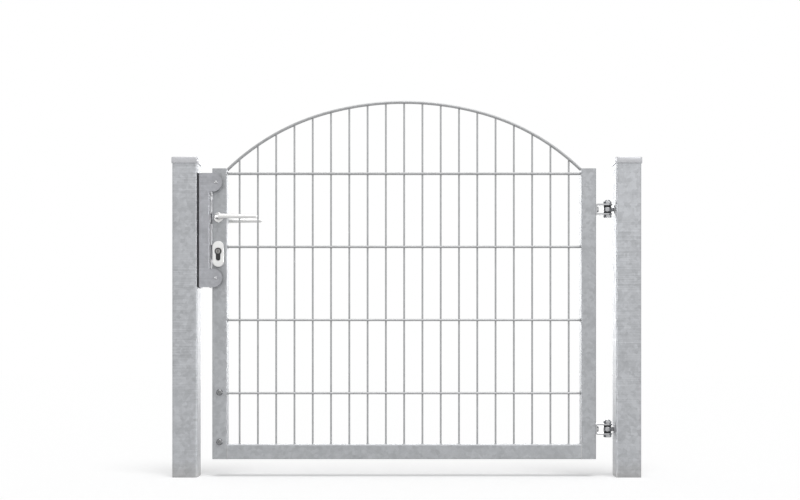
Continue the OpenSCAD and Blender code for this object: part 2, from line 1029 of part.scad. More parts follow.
latch_post();
hinge_post();
latch_post_cap();
hinge_post_cap();
stop_bar();
stop_bar_pad();
stop_bar_screws();
buffer_upper();
buffer_lower();
buffer_screws();
eye_bolt_upper();
eye_bolt_lower();
eye_bolt_nuts_upper();
eye_bolt_nuts_lower();
lock_stile();
hinge_stile();
bottom_rail();
lock_stile_cap();
hinge_stile_cap();
mesh_panel();
arch_wires();
hinge_bracket_upper();
hinge_bracket_lower();
bracket_screw_upper();
bracket_screw_lower();
hinge_bolt_upper();
hinge_bolt_lower();
hinge_nut_upper();
hinge_nut_lower();
hinge_washers_upper();
hinge_washers_lower();
stile_screws();
lock_case();
lock_forend();
latch_bolt();
dead_bolt();
lever_collar_front();
lever_collar_rear();
cover_front();
cover_rear();
lock_cylinder();
cylinder_plugs();
lever_front();
lever_rear();
spindle();
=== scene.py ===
"""Looks of a galvanised single swing gate: rod mesh, tubes, hinges, lock and stage."""

import json
import math

import bmesh
import bpy
from bpy.props import FloatProperty, FloatVectorProperty, IntProperty, PointerProperty
from mathutils import Matrix, Vector

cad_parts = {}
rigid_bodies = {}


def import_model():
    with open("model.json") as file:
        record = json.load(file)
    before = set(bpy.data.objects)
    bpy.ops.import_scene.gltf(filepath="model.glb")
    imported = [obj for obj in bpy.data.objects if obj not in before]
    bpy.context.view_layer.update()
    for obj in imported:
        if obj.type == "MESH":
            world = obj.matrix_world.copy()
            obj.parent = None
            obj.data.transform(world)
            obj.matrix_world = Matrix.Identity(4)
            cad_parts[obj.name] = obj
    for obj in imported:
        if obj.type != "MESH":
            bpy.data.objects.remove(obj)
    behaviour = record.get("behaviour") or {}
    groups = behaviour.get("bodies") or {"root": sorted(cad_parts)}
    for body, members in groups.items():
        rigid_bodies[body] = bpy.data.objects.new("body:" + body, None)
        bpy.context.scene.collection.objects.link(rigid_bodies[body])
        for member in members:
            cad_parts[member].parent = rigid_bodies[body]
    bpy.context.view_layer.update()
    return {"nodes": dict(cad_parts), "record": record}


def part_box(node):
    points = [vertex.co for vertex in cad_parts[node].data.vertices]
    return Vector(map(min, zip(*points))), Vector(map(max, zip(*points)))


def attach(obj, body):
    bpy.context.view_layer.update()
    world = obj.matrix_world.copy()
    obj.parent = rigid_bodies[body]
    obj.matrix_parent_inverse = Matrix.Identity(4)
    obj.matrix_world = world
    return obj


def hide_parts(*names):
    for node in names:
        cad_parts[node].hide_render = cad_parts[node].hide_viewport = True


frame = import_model()

bl_info = {
    "name": "Swing Gate Looks",
    "version": (1, 0, 0),
    "blender": (4, 5, 0),
    "location": "View3D > Sidebar > Gate",
    "description": "Builds the rod mesh, fixings, lock furniture and finishes of a swing gate",
    "category": "Object",
}

MM = 0.001
UP = Vector((0, 0, 1))
RIGHT = Vector((1, 0, 0))
BACK = Vector((0, 1, 0))
FRONT = Vector((0, -1, 0))
HINGES = ("upper", "lower")


# ---- Places taken from the frame ----

def low(node):
    return Vector(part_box(node)[0])


def high(node):
    return Vector(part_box(node)[1])


def middle(node):
    return (low(node) + high(node)) / 2


def span(node):
    return high(node) - low(node)


def joint_place(name):
    """A point on a joint's axis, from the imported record."""
    joints = frame["record"]["behaviour"]["joints"]
    return Vector(next(j["pos_m"] for j in joints if j["name"] == name))


PIN_AXIS = joint_place("leaf_swing")
SPINDLE_AXIS = joint_place("lever_turn")
LEAF_Y = middle("hinge_stile").y
LEAF_MID = (low("lock_stile").x + high("hinge_stile").x) / 2
TUBE = span("hinge_stile").x
LEAF_INNER = high("hinge_stile").x - low("lock_stile").x - 2 * TUBE
RAIL_TOP = high("bottom_rail").z
STILE_TOP = high("hinge_stile").z


# ---- Sizes and colours that a user can change ----

def size(name, description, default, **more):
    return FloatProperty(name=name, description=description, default=default, unit="LENGTH", **more)


def tint(name, description, default):
    return FloatVectorProperty(
        name=name, description=description, default=default,
        size=3, subtype="COLOR", min=0, max=1,
    )


class GateMeshSizes(bpy.types.PropertyGroup):
    """Sizes of the rod mesh and its welds"""

    upright_d: size("Upright wire", "Diameter of the upright wires", 5 * MM)
    level_d: size("Level wire", "Diameter of the level wires and the arch", 6 * MM)
    upright_count: IntProperty(name="Uprights", description="Number of upright wires", default=19, min=3)
    upright_pitch: size("Upright pitch", "Distance between upright wires", 50 * MM)
    level_count: IntProperty(name="Levels", description="Number of level wire pairs", default=4, min=1)
    level_pitch: size("Level pitch", "Distance between level wires", 200 * MM)
    top_drop: size("Top wire drop", "From the stiles' top down to the highest level wire", 12 * MM)
    arch_rise: size("Arch rise", "Height of the arch over the stiles", 183 * MM)
    arch_shoulder: FloatProperty(
        name="Arch shoulder", description="Turn of the arch on its top radius",
        default=math.radians(16), subtype="ANGLE",
    )
    arch_ratio: FloatProperty(
        name="Arch ratio", description="End radius as a share of the top radius",
        default=0.8, min=0.5, max=1,
    )
    spot_weld: size("Spot weld", "Radius of the weld where two wires cross", 2.9 * MM)
    end_weld: size("End weld", "Radius of the weld where a wire meets the frame", 4.2 * MM)
    seam_weld: size("Seam weld", "Radius of the weld seam round the rail's ends", 1.5 * MM)


class GateFixingSizes(bpy.types.PropertyGroup):
    """Sizes of bolts, nuts, screws and lock furniture"""

    pin_d: size("Pin", "Diameter of the hinge pins and eye bolts", 12 * MM)
    thread_pitch: size("Thread pitch", "Pitch of the hinge threads", 1.75 * MM)
    thread_depth: size("Thread depth", "Depth of the hinge threads", 0.9 * MM)
    cap_round: size("Cap rounding", "Rounding of the post caps' top edge", 2.2 * MM)
    cap_wall: size("Cap wall", "Thickness of the post caps", 2.6 * MM)
    post_corner: size("Post corner", "Corner radius of the posts", 6 * MM)
    cover_round: size("Cover rounding", "Rounding of the cylinder covers' edge", 1.6 * MM)
    cylinder_d: size("Cylinder", "Diameter of the key cylinder's round part", 17 * MM)
    cylinder_leg: size("Cylinder leg", "Width of the key cylinder's leg", 10 * MM)
    lever_neck: size("Lever neck", "Radius of the lever at its collar", 7 * MM)
    lever_end: size("Lever end", "Radius of the lever at its free end", 5.5 * MM)
    lever_bend: size("Lever bend", "Radius of the bend from neck to grip", 12 * MM)


class GateColours(bpy.types.PropertyGroup):
    """Colours of the finishes"""

    zinc_post: tint("Post zinc", "Galvanised posts", (0.466, 0.477, 0.497))
    zinc_frame: tint("Frame zinc", "Galvanised frame tubes", (0.425, 0.436, 0.452))
    zinc_bar: tint("Bar zinc", "Galvanised stop bar", (0.388, 0.394, 0.418))
    zinc_wire: tint("Wire zinc", "Galvanised wires", (0.440, 0.445, 0.452))
    cap: tint("Cap", "Cast post caps", (0.590, 0.595, 0.618))
    fixing: tint("Fixings", "Bright zinc-plated bolts and nuts", (0.480, 0.484, 0.494))
    satin: tint("Satin steel", "Levers, collars and covers", (0.830, 0.830, 0.822))
    nickel: tint("Nickel", "Key plugs and bolts of the lock", (0.300, 0.297, 0.290))
    # near black: on the key cylinder this is painted shade, the dark of the recess round the key plug
    dark: tint("Dark steel", "Key cylinder, lock case and spindle", (0.045, 0.045, 0.046))
    screw: tint("Stile screws", "Domed screws in the lock stile", (0.250, 0.253, 0.258))
    # black rubber; on the pad by the stop bar the black is also painted shade, for the dark groove between the
    # latch post and the bar
    rubber: tint("Rubber", "Pad, buffers and hinge washers", (0.022, 0.023, 0.027))


class GateStage(bpy.types.PropertyGroup):
    """Camera, lamps and floor"""

    lens: FloatProperty(name="Lens", description="Focal length in millimetres", default=55.94)
    distance: size("Distance", "From the camera to the middle of the leaf's depth", 3.4)
    eye_height: size("Eye height", "Height of the camera", 0.345)
    aside: size("Aside", "How far the camera stands left of the leaf's middle", 11.4 * MM)
    rise: FloatProperty(name="Rise", description="Vertical shift of the lens", default=0.125)
    floor: tint("Floor", "Colour of the floor and the background", (0.93, 0.93, 0.93))
    floor_lift: FloatProperty(name="Floor lift", description="Glow that whitens the floor", default=0.20)
    sky: FloatProperty(name="Sky", description="Strength of the all-round light", default=0.50)


# ---- Building meshes from rings of points ----

class Shell:
    """Collects closed shells, each a stack of rings of points."""

    def __init__(self):
        self.points = []
        self.faces = []

    def add(self, rings, place=Matrix.Identity(4), loop=False):
        """Joins the rings in order and closes them with two fans, or end to start if loop."""
        first, count = len(self.points), len(rings[0])
        self.points += [place @ p for ring in rings for p in ring]
        pairs = len(rings) if loop else len(rings) - 1
        for k in range(pairs):
            here, there = first + k * count, first + (k + 1) % len(rings) * count
            for i in range(count):
                j = (i + 1) % count
                self.faces.append((here + i, here + j, there + j, there + i))
        if not loop:
            for k in (0, len(rings) - 1):
                ring = rings[k]
                tip = len(self.points)
                self.points.append(place @ (sum(ring, Vector()) / count))
                base = first + k * count
                for i in range(count):
                    self.faces.append((base + i, base + (i + 1) % count, tip))

    def piece(self, name, material, sharp=35):
        """Turns the shells into an object with outward normals."""
        mesh = bpy.data.meshes.new(name)
        mesh.from_pydata(self.points, [], self.faces)
        bm = bmesh.new()
        bm.from_mesh(mesh)
        bmesh.ops.recalc_face_normals(bm, faces=bm.faces)
        bm.to_mesh(mesh)
        bm.free()
        return finish_piece(name, mesh, material, sharp)


def finish_piece(name, mesh, material, sharp=35):
    """An object for the mesh, smooth except across edges sharper than the angle."""
    mesh.shade_smooth()
    mesh.set_sharp_from_angle(angle=math.radians(sharp))
    mesh.materials.clear()
    mesh.materials.append(material)
    piece = bpy.data.objects.new(name, mesh)
    bpy.context.scene.collection.objects.link(piece)
    return piece


def stands_for(piece, body, slot, *nodes):
    """The piece rides on the body and hides the nodes. The slot is not used."""
    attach(piece, body)
    if nodes:
        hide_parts(*nodes)


def along(axis, origin):
    """Places a shape that was built up +Z so that it stands at origin along the axis."""
    return Matrix.Translation(origin) @ UP.rotation_difference(axis).to_matrix().to_4x4()


def hexagon_radius(width, angle):
    """Distance from the middle to the side of a hexagon with a corner at angle 0."""
    return width / 2 / math.cos(angle % math.radians(60) - math.radians(30))


def turned(profile, sides=48, hexagon=None, thread=None):
    """Rings of a turned shape from (radius, height) pairs.

    hexagon is a width across flats that the radius doesn't pass.
    thread is (pitch, depth): the radius falls and rises along a helix.
    """
    rings = []
    for radius, height in profile:
        ring = []
        for i in range(sides):
            angle = 2 * math.pi * i / sides
            r = radius
            if hexagon:
                r = min(r, hexagon_radius(hexagon, angle))
            if thread:
                pitch, depth = thread
                turn = (height / pitch + i / sides) % 1
                r -= depth * abs(2 * turn - 1)
            ring.append(Vector((r * math.cos(angle), r * math.sin(angle), height)))
        rings.append(ring)
    return rings


def steps(start, end, count):
    """Evenly spaced values from start to end."""
    return [start + (end - start) * i / (count - 1) for i in range(count)]


def hexagon_head(width, height, collar=0):
    """Profile of a hexagon head or nut, chamfered at both faces. collar is the height of a
    round collar on top, as on a locking nut."""
    inner, corner = 0.94 * width / 2, 1.02 * width / math.sqrt(3)
    slope = math.tan(math.radians(30))
    body = height - collar
    lower = [(r, (r - inner) * slope) for r in steps(inner, corner, 5)]
    upper = [(r, body - (r - inner) * slope) for r in steps(corner, inner, 5)]
    if not collar:
        return lower + upper
    ring = 0.82 * width / 2
    round_off = collar / 2
    top = [
        (ring - round_off * (1 - math.cos(a)), height - round_off * (1 - math.sin(a)))
        for a in steps(0, math.pi / 2, 5)
    ]
    return lower + upper + [(ring, body)] + top


def threaded(radius, start, end, pitch, depth):
    """Rings of a threaded rod with a chamfered end."""
    count = max(4, int((end - start) / pitch * 8))
    profile = [(radius, z) for z in steps(start, end - depth, count)]
    return turned(profile + [(radius - depth, end)], sides=32, thread=(pitch, depth))


def domed_screw(head_d, head_h, key_w, sides=48, flat=0.0):
    """Rings of a domed head with a hexagon socket, standing on z = 0."""
    rim = key_w / math.sqrt(3) * 1.06
    top = head_h
    dome = []
    for a in steps(0, math.pi / 2, 9):
        r = rim + (head_d / 2 - rim) * math.cos(a) ** (1 - 0.35 * flat)
        dome.append((r, top * (0.18 + 0.82 * math.sin(a))))
    rings = turned([(head_d / 2 * 0.97, 0)] + dome, sides)
    socket = turned([(1, top - 0.04 * head_h), (1, top * 0.45)], sides, hexagon=key_w)
    return rings + socket


def rounded_square(side, radius, height, steps_per_corner=6):
    """A ring of points: a square with round corners."""
    ring = []
    inner = side / 2 - radius
    for k in range(4):
        start = k * math.pi / 2
        turn = math.radians(45) + start
        centre = Vector((
            math.copysign(inner, math.cos(turn)),
            math.copysign(inner, math.sin(turn)),
            height,
        ))
        for a in steps(start, start + math.pi / 2, steps_per_corner):
            ring.append(centre + radius * Vector((math.cos(a), math.sin(a), 0)))
    return ring


# ---- Node trees ----

class Tree:
    """Adds nodes to a node tree and links them."""

    def __init__(self, tree):
        self.tree = tree

    def add(self, kind, values=None, **settings):
        node = self.tree.nodes.new(kind)
        for name, setting in settings.items():
            setattr(node, name, setting)
        for socket, value in (values or {}).items():
            self.set(node, socket, value)
        return node

    def set(self, node, socket, value):
        target = node.inputs[socket]
        if isinstance(value, bpy.types.NodeSocket):
            self.tree.links.new(value, target)
        else:
            target.default_value = value

    def math(self, operation, *values):
        node = self.add("ShaderNodeMath", operation=operation)
        for i, value in enumerate(values):
            self.set(node, i, value)
        return node.outputs[0]

    def spread(self, value, low_in, high_in, low_out, high_out):
        """Maps a range of values on another, held at its ends."""
        node = self.add("ShaderNodeMapRange", {
            "Value": value, "From Min": low_in, "From Max": high_in,
            "To Min": low_out, "To Max": high_out,
        })
        return node.outputs["Result"]

    def joined(self, *geometries):
        node = self.add("GeometryNodeJoinGeometry")
        for geometry in geometries:
            self.tree.links.new(geometry, node.inputs[0])
        return node.outputs[0]

    def point(self, x=0.0, y=0.0, z=0.0):
        return self.add("ShaderNodeCombineXYZ", {"X": x, "Y": y, "Z": z}).outputs[0]


def new_group(name, kind, inputs, outputs):
    """A node group with (name, socket type, default) inputs and (name, socket type) outputs."""
    group = bpy.data.node_groups.new(name, kind)
    for label, socket, default in inputs:
        made = group.interface.new_socket(label, in_out="INPUT", socket_type=socket)
        if default is not None:
            made.default_value = default
    for label, socket in outputs:
        group.interface.new_socket(label, in_out="OUTPUT", socket_type=socket)
    tree = Tree(group)
    source = tree.add("NodeGroupInput")
    target = tree.add("NodeGroupOutput")
    return group, tree, source.outputs, target


MIX_FIRST, MIX_SECOND, MIX_RESULT = 6, 7, 2  # colour sockets of a Mix node
FLOAT, VECTOR, COLOUR = "NodeSocketFloat", "NodeSocketVector", "NodeSocketColor"
GEOMETRY, COUNT, MATERIAL = "NodeSocketGeometry", "NodeSocketInt", "NodeSocketMaterial"


def run_geometry(name, group, values, sharp=40):
    """Runs a geometry tree on an empty mesh and returns the plain mesh that comes out."""
    holder = bpy.data.objects.new(name + "_maker", bpy.data.meshes.new(name + "_maker"))
    bpy.context.scene.collection.objects.link(holder)
    modifier = holder.modifiers.new("make", "NODES")
    modifier.node_group = group
    for item in group.interface.items_tree:
        if item.in_out == "INPUT" and item.name in values:
            modifier[item.identifier] = values[item.name]
    depsgraph = bpy.context.evaluated_depsgraph_get()
    made = bpy.data.meshes.new_from_object(holder.evaluated_get(depsgraph))
    made.name = name
    holder.modifiers.remove(modifier)
    bpy.data.objects.remove(holder)
    if not made.polygons:
        raise RuntimeError(f"{name} came out empty")
    return made


# ---- Shader groups that several finishes share ----

def zinc_group():
    """Cloudy, crystalline and faintly streaked zinc."""
    group, t, given, out = new_group(
        "zinc_skin", "ShaderNodeTree",
        [("Tone", COLOUR, (0.45, 0.45, 0.45, 1)), ("Cloud", FLOAT, 0.10), ("Crystal", FLOAT, 0.05),
         ("Streak", FLOAT, 0.05), ("Crystal Size", FLOAT, 110.0), ("Roughness", FLOAT, 0.5)],
        [("Color", COLOUR), ("Roughness", FLOAT), ("Height", FLOAT)],
    )
    place = t.add("ShaderNodeTexCoord").outputs["Object"]
    cloud = t.add("ShaderNodeTexNoise", {"Vector": place, "Scale": 38.0, "Detail": 5.0, "Roughness": 0.62})
    speck = t.add("ShaderNodeTexNoise", {"Vector": place, "Scale": 240.0, "Detail": 3.0, "Roughness": 0.6})
    crystal = t.add(
        "ShaderNodeTexVoronoi",
        {"Vector": place, "Scale": given["Crystal Size"], "Randomness": 1.0}, feature="F1",
    )
    flat = t.add("ShaderNodeMapping", {"Vector": place, "Scale": (7.0, 7.0, 330.0)})
    streak = t.add("ShaderNodeTexNoise", {"Vector": flat.outputs[0], "Scale": 1.0, "Detail": 2.0})
    patch = t.add("ShaderNodeTexNoise", {"Vector": place, "Scale": 9.0, "Detail": 1.0})
    patchy = t.spread(patch.outputs["Fac"], 0.45, 0.62, 0.25, 1.0)
    grey = t.add("ShaderNodeSeparateColor", {"Color": crystal.outputs["Color"]}).outputs[0]

    def part(value, amount, middle_at=0.5):
        return t.math("MULTIPLY", t.math("SUBTRACT", value, middle_at), amount)

    shade = t.math("ADD", part(cloud.outputs["Fac"], given["Cloud"]), part(grey, given["Crystal"]))
    lines = t.math("MULTIPLY", part(streak.outputs["Fac"], given["Streak"]), patchy)
    shade = t.math("ADD", shade, lines)
    shade = t.math("ADD", shade, part(speck.outputs["Fac"], 0.10))
    factor = t.math("ADD", 1.0, t.math("MULTIPLY", shade, 2.0))
    tone = t.add("ShaderNodeVectorMath", {0: given["Tone"], "Scale": factor}, operation="SCALE")
    rough = t.math("ADD", given["Roughness"], part(cloud.outputs["Fac"], 0.25))
    rough = t.math("ADD", rough, part(grey, 0.10))
    height = t.math("ADD", t.math("MULTIPLY", speck.outputs["Fac"], 0.6), t.math("MULTIPLY", grey, 0.15))
    height = t.math("ADD", height, t.math("MULTIPLY", streak.outputs["Fac"], 0.35))
    t.set(out, "Color", tone.outputs[0])
    t.set(out, "Roughness", rough)
    t.set(out, "Height", height)
    return group


def brushed_group():
    """Fine brush lines along one direction, with soft stains."""
    group, t, given, out = new_group(
        "brushed_skin", "ShaderNodeTree",
        [("Tone", COLOUR, (0.8, 0.8, 0.8, 1)), ("Stretch", VECTOR, (20.0, 900.0, 900.0)),
         ("Line", FLOAT, 0.08), ("Roughness", FLOAT, 0.3)],
        [("Color", COLOUR), ("Roughness", FLOAT), ("Height", FLOAT)],
    )
    place = t.add("ShaderNodeTexCoord").outputs["Object"]
    drawn = t.add("ShaderNodeMapping", {"Vector": place, "Scale": given["Stretch"]})
    lines = t.add("ShaderNodeTexNoise", {"Vector": drawn.outputs[0], "Scale": 1.0, "Detail": 3.0})
    stain = t.add("ShaderNodeTexNoise", {"Vector": place, "Scale": 60.0, "Detail": 4.0})
    line = t.math("MULTIPLY", t.math("SUBTRACT", lines.outputs["Fac"], 0.5), given["Line"])
    soft = t.math("MULTIPLY", t.math("SUBTRACT", stain.outputs["Fac"], 0.5), 0.10)
    factor = t.math("ADD", 1.0, t.math("ADD", line, soft))
    tone = t.add("ShaderNodeVectorMath", {0: given["Tone"], "Scale": factor}, operation="SCALE")
    rough = t.math("ADD", given["Roughness"], t.math("MULTIPLY", soft, 1.5))
    t.set(out, "Color", tone.outputs[0])
    t.set(out, "Roughness", rough)
    t.set(out, "Height", lines.outputs["Fac"])
    return group


def foot_darkening_group():
    """A mask that is strong near the ground and fades upwards in uneven tongues."""
    group, t, given, out = new_group(
        "foot_darkening", "ShaderNodeTree",
        [("Reach", FLOAT, 0.06), ("Amount", FLOAT, 0.3)],
        [("Mask", FLOAT)],
    )
    place = t.add("ShaderNodeTexCoord").outputs["Object"]
    height = t.add("ShaderNodeSeparateXYZ", {"Vector": place}).outputs["Z"]
    tongue = t.add("ShaderNodeTexNoise", {"Vector": place, "Scale": 70.0, "Detail": 4.0})
    lifted = t.math("MULTIPLY", given["Reach"], t.math("ADD", 0.5, tongue.outputs["Fac"]))
    fade = t.math("SUBTRACT", 1.0, t.math("DIVIDE", height, lifted))
    held = t.add("ShaderNodeClamp", {"Value": fade}).outputs[0]
    t.set(out, "Mask", t.math("MULTIPLY", held, given["Amount"]))
    return group


class Finish:
    """A material with one Principled shader and the groups that feed it."""

    def __init__(self, name, metallic, bump=0.1, distance=0.2 * MM, **constants):
        self.material = bpy.data.materials.new(name)
        self.material.use_nodes = True
        self.tree = Tree(self.material.node_tree)
        self.material.node_tree.nodes.clear()
        self.shader = self.tree.add("ShaderNodeBsdfPrincipled", {"Metallic": metallic})
        for socket, value in constants.items():
            self.shader.inputs[socket.replace("_", " ")].default_value = value
        self.tree.add("ShaderNodeOutputMaterial", {"Surface": self.shader.outputs[0]})
        self.bump = self.tree.add("ShaderNodeBump", {"Strength": bump, "Distance": distance})
        self.tree.set(self.shader, "Normal", self.bump.outputs[0])

    def skin(self, group, **values):
        """Places a shared group and lets it drive colour, roughness and bump."""
        node = self.tree.add("ShaderNodeGroup", node_tree=group)
        for socket, value in values.items():
            self.tree.set(node, socket.replace("_", " "), value)
        self.tree.set(self.shader, "Base Color", node.outputs["Color"])
        self.tree.set(self.shader, "Roughness", node.outputs["Roughness"])
        self.tree.set(self.bump, "Height", node.outputs["Height"])
        return node

    def darken_foot(self, skin, group, colour, **values):
        """Mixes a darker tone over the skin's colour, strongest near the ground."""
        mask = self.tree.add("ShaderNodeGroup", node_tree=group)
        for socket, value in values.items():
            self.tree.set(mask, socket, value)
        mix = self.tree.add("ShaderNodeMix", {"Factor": mask.outputs["Mask"]}, data_type="RGBA")
        self.tree.set(mix, MIX_FIRST, skin.outputs["Color"])
        self.tree.set(mix, MIX_SECOND, colour)
        self.tree.set(self.shader, "Base Color", mix.outputs[MIX_RESULT])


def four(colour):
    return (*colour, 1.0)


FINISHES = {}


def make_finishes(colours):
    """All materials, by the record's slot names."""
    zinc, brushed, foot_mask = zinc_group(), brushed_group(), foot_darkening_group()
    # the darker tone that the posts take towards the ground
    foot_tone = (0.30, 0.28, 0.25, 1.0)

    def galvanised(slot, colour, roughness, **more):
        finish = Finish(slot, 0.6, bump=0.22, distance=0.25 * MM)
        skin = finish.skin(zinc, Tone=four(colour), Roughness=roughness, **more)
        FINISHES[slot] = finish.material
        return finish, skin

    post, skin = galvanised("post_zinc", colours.zinc_post, 0.46, Cloud=0.20, Streak=0.30, Crystal=0.10)
    # posts: the zinc turns darker towards the ground
    post.darken_foot(skin, foot_mask, foot_tone, Reach=0.05, Amount=0.35)
    galvanised("frame_zinc", colours.zinc_frame, 0.48, Cloud=0.16, Streak=0.08, Crystal=0.09)
    galvanised("bar_zinc", colours.zinc_bar, 0.46, Cloud=0.15, Streak=0.26, Crystal=0.08)
    galvanised("wire_zinc", colours.zinc_wire, 0.44, Cloud=0.12, Streak=0.0, Crystal=0.06)
    galvanised("cap_zinc", colours.cap, 0.42, Cloud=0.08, Streak=0.02, Crystal=0.03)
    galvanised("weld_zinc", colours.zinc_wire, 0.42, Cloud=0.16, Streak=0.0, Crystal=0.10)

    def metal(slot, colour, roughness, bump, stretch, line):
        finish = Finish(slot, 1.0, bump=bump, distance=0.05 * MM)
        finish.skin(brushed, Tone=four(colour), Roughness=roughness, Stretch=stretch, Line=line)
        FINISHES[slot] = finish.material

    metal("fixing_zinc", colours.fixing, 0.26, 0.15, (300.0, 300.0, 300.0), 0.20)
    metal("screw_zinc", colours.screw, 0.24, 0.15, (300.0, 300.0, 300.0), 0.25)
    metal("satin_steel", colours.satin, 0.30, 0.20, (25.0, 1500.0, 1500.0), 0.10)
    metal("nickel", colours.nickel, 0.25, 0.10, (900.0, 900.0, 60.0), 0.10)

    # near black; on the key cylinder it is painted shade for the recess round the key plug
    dark = Finish("dark_steel", 0.6, bump=0.10, distance=0.05 * MM)
    dark.skin(brushed, Tone=four(colours.dark), Roughness=0.32, Stretch=(400.0, 400.0, 400.0), Line=0.3)
    FINISHES["dark_steel"] = dark.material
    # black rubber, also painted shade where the pad fills the groove between the latch post and the stop bar
    rubber = Finish("rubber", 0.0, bump=0.35, distance=0.15 * MM)
    rubber.skin(
        zinc, Tone=four(colours.rubber), Roughness=0.75, Cloud=0.3, Streak=0.0, Crystal=0.2,
        Crystal_Size=900.0,
    )
    FINISHES["rubber"] = rubber.material


# ---- Geometry trees ----

def arch_group():
    """Height of the arch over a place along it: a top arc and two tighter end arcs."""
    group, t, given, out = new_group(
        "arch_height", "GeometryNodeTree",
        [("X", FLOAT, 0.0), ("Top Radius", FLOAT, 0.79), ("End Radius", FLOAT, 0.63),
         ("Joint X", FLOAT, 0.2), ("Side X", FLOAT, 0.04), ("Top Z", FLOAT, 0.2), ("Side Z", FLOAT, 0.4)],
        [("Z", FLOAT)],
    )
    away = t.math("ABSOLUTE", given["X"])

    def arc(offset, radius, base):
        drop = t.math("SUBTRACT", t.math("POWER", radius, 2.0), t.math("POWER", offset, 2.0))
        return t.math("ADD", base, t.math("SQRT", drop))

    top = arc(away, given["Top Radius"], given["Top Z"])
    side = arc(t.math("SUBTRACT", away, given["Side X"]), given["End Radius"], given["Side Z"])
    at_side = t.math("GREATER_THAN", away, given["Joint X"])
    rest = t.math("MULTIPLY", top, t.math("SUBTRACT", 1.0, at_side))
    t.set(out, "Z", t.math("ADD", rest, t.math("MULTIPLY", side, at_side)))
    return group


ARCH_INPUTS = ("Top Radius", "End Radius", "Joint X", "Side X", "Top Z", "Side Z")


def arch_values(sizes):
    """The arch's radii and centres from its rise, shoulder and ratio."""
    half, rise = LEAF_INNER / 2, sizes.arch_rise
    turn, ratio = sizes.arch_shoulder, sizes.arch_ratio
    lean = math.atan(rise / half)
    share = (1 - ratio) * (math.cos(turn) + rise / half * math.sin(turn))
    end = lean + math.acos(math.cos(lean) * (1 - share) / ratio)
    top = half / ((1 - ratio) * math.sin(turn) + ratio * math.sin(end))
    shift = top * (1 - ratio)
    top_z = STILE_TOP + rise - top
    return {
        "Top Radius": top, "End Radius": ratio * top,
        "Joint X": top * math.sin(turn), "Side X": shift * math.sin(turn),
        "Top Z": top_z, "Side Z": top_z + shift * math.cos(turn),
    }


